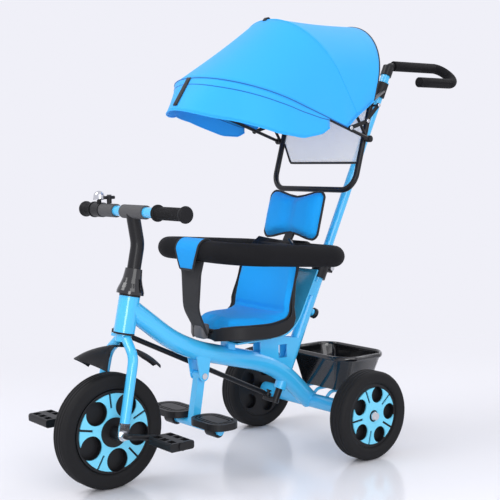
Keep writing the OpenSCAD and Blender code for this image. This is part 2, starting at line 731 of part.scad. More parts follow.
// A pedal with ribs between its tread walls and a boss round the spindle
module pedal(at) {
  bay = (pedal_len - pedal_wall) / pedal_bays;
  slit = pedal_deep / 2 - axle_r - pedal_boss - pedal_wall;
  difference() {
    about_x(at) linear_extrude(pedal_len) polygon(round_box(pedal_deep, pedal_high, pedal_edge));
    about_x(at - [over, 0, 0]) cylinder(r = axle_r + run, h = pedal_len + 2 * over);
    for (k = [0:pedal_bays - 1], way = [-1, 1])
      translate(at + [pedal_wall + bay * k, way * (pedal_deep / 2 - pedal_wall - slit / 2) - slit / 2,
        -pedal_high])
        cube([bay - pedal_wall, slit, 2 * pedal_high]);
  }
}
module pedal_left() color(soft_black) on_axle() pedal(shifted(left_pedal_at, pedal_foot));
module pedal_right() color(soft_black) on_axle() pedal(shifted(right_pedal_at, -pedal_foot - pedal_len));

// Sizes of the stem and what the handlebar carries
stem_bend = 405;
stem_bend_r = 70;
bell_cup_r = 30;
bell_cup_len = 56;
bell_cup_shares = [[1, 0], [1, 0.12], [0.93, 0.24], [0.8, 0.42], [0.7, 0.62], [0.65, 0.84], [0.62, 1]];
sleeve_r = 15;
sleeve_near = 54;
sleeve_far = 33;
far_sleeve_from = 65;
far_sleeve_to = 121;
grip_r = 14;
grip_flange_r = 18;
grip_flange = 4;
grip_near = 75;
grip_far = 157;
grip_pitch = 6;
grip_rib = 1.5;
grip_ball_r = 18;
grip_ball = 14;
grip_end_r = 9.8;
bell_from = 122;
bell_to = 154;
bell_ring_r = 16.5;
bell_side = 139;
bell_post_r = 5;
bell_post = 6;
bell_r = 13.5;
bell_high = 20;
lever_side = 95;
lever_post_r = 3;
lever_hub_r = 5.5;
lever_hub = 17;
lever_arm_r = 4;
lever_arm = 13;
lever_cap = 2;
lever_cap_r = 5.2;
bell_foot_shares = [[0, 0], [0.9, 0], [1, 0.1]];
bell_dome_share = 0.92;
bell_skirt_share = 0.42;

bar_r = bar_d / 2;
bar_at = yz(bar_ahead, bar_z);
stem_foot = head_foot + head_len + bush_flange + gap;
module tube_x(from, to, r, bore) difference() {
  rod(shifted(bar_at, from), shifted(bar_at, to), r);
  rod(shifted(bar_at, from - over), shifted(bar_at, to + over), bore);
}
module stem() color(soft_black) on_axle() difference() {
  bent_rod([axis(stem_foot), axis(stem_bend), bar_at], [stem_bend_r], stem_d / 2);
  rod(axis(stem_foot - over), axis(steerer_top + gap), steerer_d / 2 + run);
  rod(shifted(bar_at, -sleeve_far), shifted(bar_at, sleeve_near), sleeve_r + run);
}
module stem_collar() color(soft_black) on_axle() along(axis(stem_foot), axis(stem_bend)) rotate_extrude()
  polygon(concat(
    [[stem_d / 2 + run, 0]],
    [for (s = bell_cup_shares) [bell_cup_r * s[0], bell_cup_len * s[1]]],
    [[stem_d / 2 + run, bell_cup_len]]));
module handlebar() color(frame_blue) on_axle() crossways(bar_at, bar_half, bar_r);
module bar_sleeves() color(grip_grey) on_axle() {
  tube_x(-sleeve_far, sleeve_near, sleeve_r, bar_r + run);
  difference() {
    union() {
      tube_x(-far_sleeve_to, -far_sleeve_from, sleeve_r, bar_r + run);
      rod(shifted(bar_at, -lever_side) + [0, 0, bar_r + run + gap],
        shifted(bar_at, -lever_side) + [0, 0, sleeve_r + lever_hub + 2 * gap + lever_cap], lever_post_r);
      rod(shifted(bar_at, -lever_side) + [0, 0, sleeve_r + lever_hub + 2 * gap],
        shifted(bar_at, -lever_side) + [0, 0, sleeve_r + lever_hub + 2 * gap + lever_cap], lever_cap_r);
    }
    crossways(bar_at, bar_half, bar_r + run);
  }
}
// A ribbed rubber grip with a flange at its inner end and a rounded outer end
module grip(len) {
  ribs = floor((len - grip_flange - grip_ball) / grip_pitch);
  mid = len - grip_ball / 2;
  rotate_extrude() polygon(concat(
    [[bar_r + run, 0], [grip_flange_r, 0], [grip_flange_r, grip_flange]],
    [for (k = [0:ribs - 1]) let (z = grip_flange + k * grip_pitch)
      each [[grip_r - grip_rib, z], [grip_r - grip_rib, z + grip_pitch / 3],
        [grip_r, z + grip_pitch / 2], [grip_r, z + grip_pitch]]],
    [for (a = [-50:20:70])
      [grip_r - grip_rib + (grip_ball_r - grip_r + grip_rib) * cos(a), mid + grip_ball / 2 * sin(a)]],
    [[grip_end_r, len], [0, len], [0, len - plate], [bar_r + run, len - plate]]));
}
module grips() color(soft_black) on_axle() {
  about_x(shifted(bar_at, grip_near)) grip(bar_half - grip_near + plate + gap);
  mirror([1, 0, 0]) about_x(shifted(bar_at, grip_far)) grip(bar_half - grip_far + plate + gap);
}
module bell_clamp() color(soft_black) on_axle() difference() {
  union() {
    rod(shifted(bar_at, -bell_to), shifted(bar_at, -bell_from), bell_ring_r);
    rod(shifted(bar_at, -bell_side), shifted(bar_at, -bell_side) + [0, 0, bell_ring_r + bell_post],
      bell_post_r);
  }
  crossways(bar_at, bar_half, bar_r + run);
}
module bell() color(bright) on_axle()
  translate(shifted(bar_at, -bell_side) + [0, 0, bell_ring_r + bell_post + run])
  rotate_extrude() polygon(concat(
    [for (s = bell_foot_shares) [bell_r * s[0], bell_high * s[1]]],
    [for (a = [0:15:75]) [bell_r * bell_dome_share * cos(a), bell_high * mix(bell_skirt_share, 1, sin(a))]],
    [[0, bell_high]]));
module bell_lever() color(soft_black) on_axle()
  translate(shifted(bar_at, -lever_side) + [0, 0, sleeve_r + gap])
  difference() {
    union() {
      cylinder(r = lever_hub_r, h = lever_hub);
      rod([0, -lever_arm, lever_hub - lever_arm_r], [0, lever_arm, lever_hub - lever_arm_r],
        lever_arm_r - gap);
    }
    translate([0, 0, -over]) cylinder(r = lever_post_r + run, h = lever_hub + 2 * over);
  }

// Sizes of the seat and what carries it
support_z = 283;
support_t = 4;
support_w = 120;
support_ahead = 270;
support_bend_ahead = 103;
support_bend_r = 90;
support_top_ahead = 23;
support_top_z = 434;
gusset_side = 13;
gusset_t = 3;
gusset_top = support_z - support_t / 2 - run;
gusset_ahead = 166;
gusset_seat = 12;
gusset_rod_t = 82;
window_ahead = 97;
window_z = 240;
window_w = 26;
window_h = 32;
strut_low = 108;
strut_high = 150;
strut_foot_t = 190;
strut_top_t = 226;
lug_half = 15;
lug_ahead = 262;
lug_len = 20;
knob_ahead = 184;
knob_r = 9;
knob_high = 14;
knob_stem_r = 4;
knob_shares = [[0, 0], [0.8, 0], [1, 0.2], [1, 0.6], [0.6, 0.75], [0.6, 1]];
pan_len = 157;
seat_bend_r = 50;
pan_deep = 28;
back_t = 8;
rim_t = 16;
lip_rise = 14;
wing = 40;
front_fall = 6;
front_run = 45;
front_t = 12;
front_taper = 60;
seat_w_shares = [[0, 0.36], [0.05, 0.66], [0.12, 0.88], [0.25, 1], [0.55, 1], [0.82, 0.98], [0.92, 0.84],
  [1, 0.5]];
pad_w_shares = [[0, 0.28], [0.05, 0.57], [0.12, 0.78], [0.25, 0.9], [0.55, 0.9], [0.82, 0.88],
  [0.92, 0.74], [1, 0.4]];
pad_inset_share = 0.03;
pad_channel_share = 0.35;
pad_channel_w_share = 0.06;
pad_side_share = 0.75;
pad_edge = 2.2;
seat_gap = 3;
seat_rows = 22;
pad_rows = 26;
seat_cols = 12;

support_way = unit(yz(support_top_ahead, support_top_z) - yz(support_bend_ahead, support_z));
support_rear = cross(support_way, [1, 0, 0]);
function strip_back(d) = yz(support_bend_ahead,
  support_z) + d * support_way + (support_t / 2 + run) * support_rear;
function flat(p) = [p[1], p[2]];

module seat_support() color(frame_blue) on_axle() difference() {
  bent_strip([yz(support_ahead, support_z), yz(support_bend_ahead, support_z),
    yz(support_top_ahead, support_top_z)],
    [support_bend_r], support_t, support_w);
  translate(yz(knob_ahead, support_z - support_t)) cylinder(r = knob_stem_r + run, h = 2 * support_t);
}
module seat_knob() color(soft_black) on_axle()
  translate(yz(knob_ahead, support_z - support_t / 2 - knob_high - run))
  rotate_extrude() polygon(concat(
    [for (s = knob_shares) [knob_r * s[0], knob_high * s[1]]],
    [[knob_stem_r, knob_high], [knob_stem_r, knob_high + support_t], [0, knob_high + support_t]]));

seat_arc = PI / 180 * (90 - back_lean) * seat_bend_r;
seat_len = pan_len + seat_arc + back_len;
// The line under the seat pad, from the front edge over the crease to the top: the point and its slope
function seat_line(s) =
  s <= pan_len ? [-seat_ahead + s, seat_z, 0]
  : s <= pan_len + seat_arc
    ? let (a = (s - pan_len) / seat_arc * (90 - back_lean))
      [-seat_ahead + pan_len + seat_bend_r * sin(a), seat_z + seat_bend_r * (1 - cos(a)), a]
  : let (a = 90 - back_lean, d = s - pan_len - seat_arc)
      [-seat_ahead + pan_len + seat_bend_r * sin(a) + d * cos(a),
        seat_z + seat_bend_r * (1 - cos(a)) + d * sin(a), a];
// A point at a distance along the seat and a share of its half width, with a rise from the line
function seat_at(u, v, w, rise) =
  let (l = seat_line(u * seat_len), rear = ease((u * seat_len - pan_len + seat_bend_r) / (2 * seat_arc)),
    curl = mix(lip_rise * pow(abs(v), 4), wing * pow(abs(v), 2.5), rear),
    front = front_fall * pow(max(0, 1 - u * seat_len / front_run), 2), h = rise + curl - front)
  [w * v, l[0] - h * sin(l[2]), l[1] + h * cos(l[2])];
function shell_deep(u, v) =
  let (rear = ease((u * seat_len - pan_len) / seat_arc),
    pan = mix(front_t, pan_deep, ease(u * seat_len / front_taper)))
  mix(mix(pan, rim_t + lip_rise, pow(abs(v), 4)), back_t, rear);
function shell_grid(under) = [for (i = [0:seat_rows]) [for (j = [0:seat_cols])
  let (u = i / seat_rows, v = 2 * j / seat_cols - 1)
    seat_at(u, v, seat_w / 2 * lookup(u, seat_w_shares), under ? -shell_deep(u, v) : 0)]];
module seat_shell() color(soft_black) on_axle() quilt(shell_grid(false), shell_grid(true));

pad_crease = (pan_len + seat_arc / 2) / seat_len;
function pad_rise(u, v) = let (along = mix(pad_inset_share, 1 - pad_inset_share, u),
    end = sqrt(max(0, 1 - pow(abs(2 * u - 1), 8))),
      channel = pad_channel_share * bump((along - pad_crease) / pad_channel_w_share))
  pad_thick * end * (1 - channel) * (1 - pad_side_share * pow(abs(v), 3));
function pad_grid(upper) = [for (i = [0:pad_rows]) [for (j = [0:seat_cols])
  let (u = i / pad_rows, v = 2 * j / seat_cols - 1, along = mix(pad_inset_share, 1 - pad_inset_share, u),
    w = seat_w / 2 * lookup(along, seat_w_shares),
      k = lookup(along, pad_w_shares) / lookup(along, seat_w_shares))
    seat_at(along, k * v, w, seat_gap + (upper ? pad_edge + pad_rise(u, v) : 0))]];
module seat_cushion() color(cloth_blue) on_axle() quilt(pad_grid(true), pad_grid(false));

// Sizes of the headrest
pillow_z = 570;
pillow_ahead = 45;
pillow_half = 102;
pillow_high = 58;
pillow_t = 19;
pillow_shares = [[0, 0.8], [0.3, 0.88], [0.62, 1], [0.85, 0.86], [1, 0.5]];
pillow_edge_share = 0.12;
pillow_waist_share = 0.3;
pillow_waist_w_share = 0.25;
pillow_rows = 12;
pillow_cols = 18;
headrest_post_w = 28;
headrest_post_t = 6;
pillow_up = heading(90 - back_lean);
pillow_front = heading(180 - back_lean);
seat_top = seat_line(seat_len);
function pillow_at(u, v, way) =
  let (high = pillow_high * lookup(abs(u), pillow_shares),
    t = pillow_t * mix(pillow_edge_share, 1, sqrt(bump(pow(v, 2)) * bump(pow(u, 3))))
      * (1 - pillow_waist_share * bump(u / pillow_waist_w_share)))
  yz(pillow_ahead, pillow_z) + high * v * pillow_up + way * t * pillow_front + [-pillow_half * u, 0, 0];
function pillow_grid(way) = [for (i = [0:pillow_rows]) [for (j = [0:pillow_cols])
  pillow_at(2 * j / pillow_cols - 1, 2 * i / pillow_rows - 1, way)]];
module headrest_pillow() color(cloth_blue) on_axle() quilt(pillow_grid(1), pillow_grid(-1));
module headrest_post() color(soft_black) on_axle() {
  foot = [0, seat_top[0], seat_top[1]] + (back_t + headrest_post_t) / 2 * -pillow_front + gap * pillow_up;
  head = yz(pillow_ahead,
    pillow_z) - (pillow_high * lookup(headrest_post_w / 2 / pillow_half, pillow_shares) + gap) * pillow_up;
  along(foot, head) translate([-headrest_post_t / 2, -headrest_post_w / 2])
    cube([headrest_post_t, headrest_post_w, norm(head - foot)]);
}

// Sizes of the guard ring
guard_front_r = 75;
guard_rear_r = 45;
guard_core_r = 8;
saddle_t = 4;
saddle_half = 32;
bracket_r = 9;
bracket_ring_r = 17;
bracket_foot = 290;
bracket_len = 20;
flap_half = 42;
flap_foot_half = 24;
flap_t = 3;
flap_tail = 41;
strap_w = 60;
strap_t = 4;
strap_knee_ahead = 341;
strap_knee_z = 365;
strap_foot_z = 304;
strap_bend_r = 60;

guard_r = guard_d / 2;
guard_front = yz(guard_ahead, guard_front_z);
guard_rear = yz(guard_rear_ahead, guard_rear_z);
guard_path = [shifted(guard_rear, guard_half), shifted(guard_front, guard_half),
  shifted(guard_front, -guard_half), shifted(guard_rear, -guard_half)];
guard_bends = [guard_rear_r, guard_front_r, guard_front_r, guard_rear_r];
module guard_tube() color(bright) on_axle() bent_rod(guard_path, guard_bends, guard_core_r, true);
module guard_foam() color(soft_black) on_axle()
  bent_tube(guard_path, guard_bends, guard_r, guard_core_r + gap, true);
module guard_bracket() color(soft_black) on_axle() difference() {
  union() {
    rod(rod_at(bracket_foot), rod_at(bracket_foot + bracket_len), bracket_ring_r);
    rod(rod_at(bracket_foot + bracket_len / 2), guard_rear, bracket_r);
    crossways(guard_rear, saddle_half, guard_r + gap + saddle_t);
  }
  crossways(guard_rear, saddle_half + over, guard_r + gap);
  rod(rod_at(bracket_foot - bracket_len), rod_at(bracket_foot + 2 * bracket_len), rod_r + run);
  translate(guard_rear - [saddle_half + over, 2 * guard_r, guard_d])
    cube([2 * (saddle_half + over), 2 * guard_r, 2 * guard_d]);
}
module guard_flap() color(cloth_blue) on_axle() {
  difference() {
    crossways(guard_front, flap_half, guard_r + gap + flap_t);
    crossways(guard_front, flap_half + over, guard_r + gap);
    translate(guard_front - [flap_half + over, 0, guard_d])
      cube([2 * (flap_half + over), guard_d, guard_d]);
    translate(guard_front - [flap_half + over, guard_r / 2, guard_d])
      cube([2 * (flap_half + over), guard_d, guard_d]);
  }
  stand(guard_front - [0, guard_r + gap, 0], [1, 0, 0], [0, 0, 1], [0, -1, 0]) linear_extrude(flap_t)
    polygon([[flap_half, 0], [-flap_half, 0], [-flap_foot_half, -flap_tail], [flap_foot_half, -flap_tail]]);
}
module crotch_strap() color(soft_black) on_axle()
  bent_strip([guard_front - [0, 0, guard_r + gap], yz(strap_knee_ahead, strap_knee_z),
    yz(seat_ahead + strap_t / 2 + gap, strap_foot_z)], [strap_bend_r], strap_t, strap_w);

// Sizes of the rear bin
bin_wall = 3;
bin_front = 10;
bin_corner = 45;
bin_foot_half = 84;
bin_foot_deep = 128;
bin_foot_corner = 26;
bin_foot_back = 36;
bin_rim_r = 6;
bin_foot_z = carrier_z + carrier_r + gap;
module bin_slice(z, half, deep, front, corner, inset) translate([0, front + deep / 2, z])
  linear_extrude(bin_wall / 2) polygon(round_box(2 * (half - inset), deep - 2 * inset, corner - inset));
module bin_solid(inset, foot, top) hull() {
  bin_slice(foot, bin_foot_half, bin_foot_deep, bin_foot_back, bin_foot_corner, inset);
  bin_slice(top, bin_half - bin_rim_r, bin_deep - 2 * bin_rim_r, bin_front + bin_rim_r, bin_corner, inset);
}
module basket() color(soft_black) on_axle() {
  difference() {
    bin_solid(0, bin_foot_z, bin_z - bin_rim_r);
    bin_solid(bin_wall, bin_foot_z + bin_wall, bin_z);
  }
  side = bin_half - bin_rim_r;
  far = -bin_front - bin_deep + bin_rim_r;
  near = -bin_front - bin_rim_r;
  z = bin_z - bin_rim_r;
  bent_rod([yz(near, z, side), yz(far, z, side), yz(far, z, -side), yz(near, z, -side)],
    [bin_corner, bin_corner, bin_corner, bin_corner], bin_rim_r, true);
}

// Sizes of the canopy frame
hoop_r = 7;
hoop_foot_r = 40;
hoop_top_r = 140;
mid_bow_r = 3.5;
mid_bow_corner = 150;
front_bow_r = 4;
front_bow_corner = 160;
bow_gap = 0.5;
pivot_r = 3;
mid_eye_r = 7;
front_eye_r = 8;
pivot_cap = 0.8;
pivot_cap_r = 6;
stay_pin_r = 2.5;
stay_head_r = 4.5;
stay_head = 1.2;
stay_t = 2.5;
stay_w = 9;
stay_eye_r = 5.5;
stay_a_at = 75;
stay_c_at = 81;
stay_b_back = -17;
stay_b_up = 41;
mesh_t = 1.2;
mesh_foot = 66;
mesh_gap = 0.4;
mesh_steps = 40;
clip_foot = 733;
clip_len = 40;
clip_r = 17;
clip_open = 5;
strut_r = 4;
strut_up = 216;
cloth_t = 3;
cloth_start = 92;
cloth_gap = 3;
cloth_sag = 3;
cloth_cols = 28;
cloth_rows = 6;
visor_t = 2.5;
visor_rows = 4;
visor_flare = 2;
visor_turn = 237;
visor_start = 140;
visor_side_share = 0.62;
visor_shares = [[0.33, 0.2], [0.4, 0.5], [0.55, 0.85], [0.72, 1], [1.2, 1]];

mid_side = hoop_half + hoop_r + bow_gap + mid_bow_r;
front_side = mid_side + mid_bow_r + bow_gap + front_bow_r;
inner_stay_at = front_side + front_bow_r + 2 * bow_gap + pivot_cap;
outer_stay_at = inner_stay_at + stay_t + bow_gap;
function hoop_at(u, side = 0) = hoop_foot + u * hoop_up + [side, 0, 0];
function bow_at(turn, r, side = 0) = pivot + r * heading(turn) + [side, 0, 0];
stay_a = bow_at(front_bow_turn, stay_a_at);
stay_b = pivot + [0, stay_b_back, stay_b_up];
stay_c = hoop_at(pivot_up + stay_c_at);

module canopy_hoop() color(soft_black) on_axle()
  bent_rod([hoop_at(0, hoop_half), hoop_at(hoop_len, hoop_half), hoop_at(hoop_len, -hoop_half),
    hoop_at(0, -hoop_half)],
    [hoop_foot_r, hoop_top_r, hoop_top_r, hoop_foot_r], hoop_r, true);
// Pins on the hoop that the bows and the upper stays turn on
module canopy_pivots() color(bright) on_axle() mirrored() difference() {
  union() {
    rod(shifted(pivot, hoop_half), shifted(pivot, front_side + front_bow_r + bow_gap + pivot_cap), pivot_r);
    rod(shifted(pivot, front_side + front_bow_r + bow_gap),
      shifted(pivot, front_side + front_bow_r + bow_gap + pivot_cap), pivot_cap_r);
    rod(shifted(stay_c, hoop_half), shifted(stay_c, outer_stay_at + stay_head), stay_pin_r);
    rod(shifted(stay_c, inner_stay_at + stay_t + bow_gap), shifted(stay_c, outer_stay_at + stay_head),
      stay_head_r);
  }
  rod(hoop_at(0, hoop_half), hoop_at(hoop_len, hoop_half), hoop_r + run);
}
module bow(turn, len, side, r, corner, eye_r) difference() {
  union() {
    bent_rod([bow_at(turn, 0, side), bow_at(turn, len, side), bow_at(turn, len, -side),
      bow_at(turn, 0, -side)],
      [corner, corner], r);
    mirrored() rod(shifted(pivot, side - r), shifted(pivot, side + r), eye_r);
  }
  crossways(pivot, side + 2 * r, pivot_r + run);
}
module front_bow() color(soft_black) on_axle() {
  bow(front_bow_turn, front_bow_len, front_side, front_bow_r, front_bow_corner, front_eye_r);
  mirrored() {
    rod(shifted(stay_a, front_side), shifted(stay_a, outer_stay_at + stay_t + bow_gap + stay_head),
      stay_pin_r);
    rod(shifted(stay_a, outer_stay_at + stay_t + bow_gap),
      shifted(stay_a, outer_stay_at + stay_t + bow_gap + stay_head), stay_head_r);
  }
}
module mid_bow() color(soft_black) on_axle()
  bow(mid_bow_turn, mid_bow_len, mid_side, mid_bow_r, mid_bow_corner, mid_eye_r);
// A flat stay between two pivots, with an eye at each end
module stay(p, q, at, p_hole, q_hole) {
  d = unit(q - p);
  stand(shifted(p, at), d, cross([1, 0, 0], d), [1, 0, 0]) linear_extrude(stay_t) difference() {
    union() {
      circle(stay_eye_r);
      translate([norm(q - p), 0]) circle(stay_eye_r);
      translate([0, -stay_w / 2]) square([norm(q - p), stay_w]);
    }
    if (p_hole) circle(stay_pin_r + run);
    if (q_hole) translate([norm(q - p), 0]) circle(stay_pin_r + run);
  }
}
module stay_lower() color(soft_black) on_axle() mirrored() {
  stay(stay_a, stay_b, outer_stay_at, true, false);
  rod(shifted(stay_b, outer_stay_at + stay_t / 2), shifted(stay_b, outer_stay_at + stay_t + stay_head),
    stay_head_r);
}
module stay_upper() color(soft_black) on_axle() mirrored() stay(stay_c, stay_b, inner_stay_at, true, true);
module canopy_mesh() color(mesh_white) on_axle() {
  half = hoop_half - hoop_r - mesh_gap;
  back = cross([1, 0, 0], hoop_up);
  stand(hoop_foot - mesh_t / 2 * back, [1, 0, 0], hoop_up, back) linear_extrude(mesh_t)
    polygon([for (i = [0:mesh_steps])
      arch(half, hoop_len - hoop_r - mesh_gap, hoop_top_r - hoop_r - mesh_gap, mesh_foot, i / mesh_steps)]);
}
clip_mid = clip_foot + clip_len / 2;
module canopy_clip() color(soft_black) on_axle() difference() {
  rod(rod_at(clip_foot), rod_at(clip_foot + clip_len), clip_r);
  rod(rod_at(clip_foot - over), rod_at(clip_foot + clip_len + over), rod_r + run);
  stand(rod_at(clip_mid) + (clip_open + clip_r) * rod_back, [1, 0, 0], cross(rod_up, [1, 0, 0]), rod_up)
    cube([2 * (clip_r + over), 2 * clip_r, clip_len + 2 * over], center = true);
}
module canopy_struts() color(soft_black) on_axle() mirrored() difference() {
  rod(rod_at(clip_mid, clip_r - strut_r), hoop_at(strut_up, hoop_half), strut_r);
  rod(rod_at(clip_foot - clip_len), rod_at(clip_foot + 2 * clip_len), clip_r + run);
  rod(hoop_at(0, hoop_half), hoop_at(hoop_len, hoop_half), hoop_r + run);
}

// The cover over the hoop and both bows: one row of points over each, and rows between
function cover_row(turn, len, side, r, corner, t, lift) = [for (j = [0:cloth_cols])
  let (a = arch(side + r + cloth_gap + t, len + r + cloth_gap + t, corner + r + t, cloth_start,
    j / cloth_cols))
    bow_at(turn, a[1], a[0]) + lift * heading(turn - 90)];
function cover_rows(t) = [
  cover_row(90 - hoop_lean, hoop_len - pivot_up, hoop_half, hoop_r, hoop_top_r, t, 0),
  cover_row(mid_bow_turn, mid_bow_len, mid_side, mid_bow_r, mid_bow_corner, t, 0),
  cover_row(front_bow_turn, front_bow_len, front_side, front_bow_r, front_bow_corner, t, bow_gap)];
function cover_grid(t) = let (rows = cover_rows(t)) [for (i = [0:2 * cloth_rows])
  let (k = min(1, floor(i / cloth_rows)), f = i / cloth_rows - k)
    [for (j = [0:cloth_cols]) let (p = mix(rows[k][j], rows[k + 1][j], f))
      p - cloth_sag * sin(180 * f) * sin(180 * j / cloth_cols) * unit(p - shifted(pivot, 0))]];
module canopy_cloth() color(canopy_blue) on_axle() quilt(cover_grid(0), cover_grid(cloth_t));

function visor_at(j, k, t) =
  let (a = arch(front_side + front_bow_r + cloth_gap + t, front_bow_len + front_bow_r + cloth_gap + t,
      front_bow_corner + front_bow_r + t, visor_start, j / cloth_cols),
    wide = abs(a[0]) / (front_side + front_bow_r),
    way = mix(visor_turn, 270, pow(min(1, wide / visor_side_share), 2)),
    fall = visor_drop * lookup(a[1] / front_bow_len, visor_shares) * k / visor_rows)
  bow_at(front_bow_turn, a[1], a[0]) + (run + fall) * heading(way)
    + [visor_flare * sign(a[0]) * pow(wide, 2) * fall / visor_drop, 0, 0];
function visor_grid(t) = [for (k = [0:visor_rows]) [for (j = [0:cloth_cols]) visor_at(j, k, t)]];
module canopy_visor() color(canopy_blue) on_axle() quilt(visor_grid(0), visor_grid(visor_t));

// Sizes of the footrest
foot_post_w = 20;
foot_bar_r = 9;
foot_bar_half = 104;
foot_lean = 19;
foot_pad_t = 15;
foot_pad_side = 80;
foot_pad_edge = 4;
foot_pad_r = 33;
foot_boss_r = 15;
foot_boss_half = 17;
foot_groove = 2;
foot_bar_at = yz(foot_ahead + foot_lean, foot_pad_z - foot_pad_t - foot_bar_r - gap);
module footrest_post() color(frame_blue) on_axle() difference() {
  union() {
    along(foot_bolt_at, foot_bar_at) linear_extrude(norm(foot_bar_at - foot_bolt_at))
      square([foot_post_w, foot_post_w], center = true);
    crossways(foot_bolt_at, hanger_side - plate / 2 - gap, foot_post_w / 2);
    crossways(foot_bar_at, foot_bar_half, foot_bar_r);
  }
  crossways(foot_bolt_at, hanger_side, foot_bolt_r + run);
}
module foot_outline(inset)
  polygon(round_box(foot_pad_len - 2 * inset, foot_pad_deep - 2 * inset, foot_pad_r - inset, 8));
module footrest_pads() color(soft_black) on_axle() mirrored() difference() {
  union() {
    translate(shifted(foot_bar_at, foot_pad_side) + [0, 0, foot_bar_r + gap]) difference() {
      linear_extrude(foot_pad_t) foot_outline(0);
      for (k = [1:2]) translate([0, 0, foot_pad_t - foot_groove]) linear_extrude(foot_groove + over)
        difference() {
        foot_outline(2 * k * foot_pad_edge);
        foot_outline((2 * k + 1) * foot_pad_edge);
      }
    }
    rod(shifted(foot_bar_at, foot_pad_side - foot_boss_half),
      shifted(foot_bar_at, foot_pad_side + foot_boss_half), foot_boss_r);
  }
  crossways(foot_bar_at, 2 * foot_bar_half, foot_bar_r + run);
}

main_frame();
head_bushes();
push_rod();
rod_clamp();
clamp_bolt();
lock_knob();
footrest_bolt();
seat_support();
seat_knob();
seat_shell();
seat_cushion();
headrest_post();
headrest_pillow();
guard_tube();
guard_foam();
guard_bracket();
guard_flap();
crotch_strap();
basket();
canopy_hoop();
canopy_pivots();
canopy_clip();
canopy_struts();
canopy_mesh();
canopy_cloth();
front_bow();
canopy_visor();
mid_bow();
stay_lower();
stay_upper();
rear_axle();
axle_caps();
rear_tyre_left();
rear_core_left();
rear_star_left();
rear_tyre_right();
rear_core_right();
rear_star_right();
fork();
fork_ends();
fender();
stem();
stem_collar();
handlebar();
bar_sleeves();
grips();
bell_clamp();
bell();
bell_lever();
front_tyre();
front_core();
front_stars();
crank();
pedal_left();
pedal_right();
handle_shaft();
handle_foam();
steering_link();
footrest_post();
footrest_pads();
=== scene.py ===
import json
import math

import bpy
import numpy as np
from bpy.props import FloatProperty, FloatVectorProperty, PointerProperty
from mathutils import Matrix, Vector


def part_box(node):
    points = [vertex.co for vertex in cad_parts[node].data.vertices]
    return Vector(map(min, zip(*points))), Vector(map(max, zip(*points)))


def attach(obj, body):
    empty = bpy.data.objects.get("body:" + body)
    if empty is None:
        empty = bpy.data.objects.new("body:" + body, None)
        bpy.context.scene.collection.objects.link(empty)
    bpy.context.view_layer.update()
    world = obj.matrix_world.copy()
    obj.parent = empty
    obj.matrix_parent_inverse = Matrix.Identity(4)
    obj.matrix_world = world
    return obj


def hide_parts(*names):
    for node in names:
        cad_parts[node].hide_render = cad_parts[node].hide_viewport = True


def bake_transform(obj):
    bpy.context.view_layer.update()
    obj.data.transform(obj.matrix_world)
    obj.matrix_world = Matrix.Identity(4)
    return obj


bl_info = {
    "name": "Push-along trike dressing",
    "version": (1, 0, 0),
    "blender": (4, 5, 0),
    "location": "View3D > Sidebar > Trike",
    "description": "Dresses the packed trike with its fabrics, foam, finishes and studio stage",
    "category": "Object",
}

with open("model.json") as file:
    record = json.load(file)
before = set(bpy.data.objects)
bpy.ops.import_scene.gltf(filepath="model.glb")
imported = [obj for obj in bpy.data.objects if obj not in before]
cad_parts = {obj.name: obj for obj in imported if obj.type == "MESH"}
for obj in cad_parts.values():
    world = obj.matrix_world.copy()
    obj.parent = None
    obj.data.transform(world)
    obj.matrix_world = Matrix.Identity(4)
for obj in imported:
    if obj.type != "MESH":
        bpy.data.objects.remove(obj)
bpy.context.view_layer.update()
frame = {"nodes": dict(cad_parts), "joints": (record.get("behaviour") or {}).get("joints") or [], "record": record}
JOINTS = {j["name"]: j for j in frame["joints"]}
# How far the rear axle lies behind the frame's origin, from its wheels' joint
AXLE_Y = JOINTS["rear_left_spin"]["pos_m"][1]


def linear(red, green, blue):
    """A colour given as bytes, 0 to 255, as Blender's linear values."""
    parts = (c / 255 for c in (red, green, blue))
    return tuple(s / 12.92 if s <= 0.04045 else ((s + 0.055) / 1.055) ** 2.4 for s in parts)


def length(name, default, about):
    return FloatProperty(name=name, description=about, default=default, min=0.0, unit="LENGTH")


def angle(name, degrees, about):
    return FloatProperty(name=name, description=about, default=math.radians(degrees), subtype="ANGLE")


def share(name, default, about):
    return FloatProperty(name=name, description=about, default=default, min=0.0, max=2.0, subtype="FACTOR")


def colour(name, default, about):
    return FloatVectorProperty(name=name, description=about, default=linear(*default), subtype="COLOR",
                               size=3, min=0.0, max=1.0)


class TrikeColours(bpy.types.PropertyGroup):
    """Colours of the finishes"""
    frame_blue: colour("Frame blue", (66, 188, 245), "Gloss paint of the frame, fork, rod and handlebar")
    canopy_blue: colour("Canopy blue", (46, 173, 252), "Cloth of the canopy and its visor")
    seat_blue: colour("Seat blue", (10, 158, 240), "Cloth of the seat pad, headrest and flap")
    star_blue: colour("Star blue", (112, 208, 242), "Wheel covers")
    soft_black: colour("Black", (21, 21, 24), "Plastic, paint and foam")
    web_black: colour("Webbing black", (36, 36, 39), "Straps, piping and bindings")
    nose_grey: colour("Nose grey", (84, 84, 88), "Plastic nose at the seat's front")
    tyre_black: colour("Tyre black", (24, 24, 26), "Tyres")
    sleeve_grey: colour("Sleeve grey", (78, 78, 80), "Rubber sleeves on the handlebar")
    mesh_white: colour("Mesh white", (246, 245, 243), "Window mesh of the canopy")
    bright: colour("Bright metal", (205, 206, 210), "Plated nuts, bolts, bell and crank")
    studio: colour("Studio", (240, 240, 248), "Floor and backdrop")


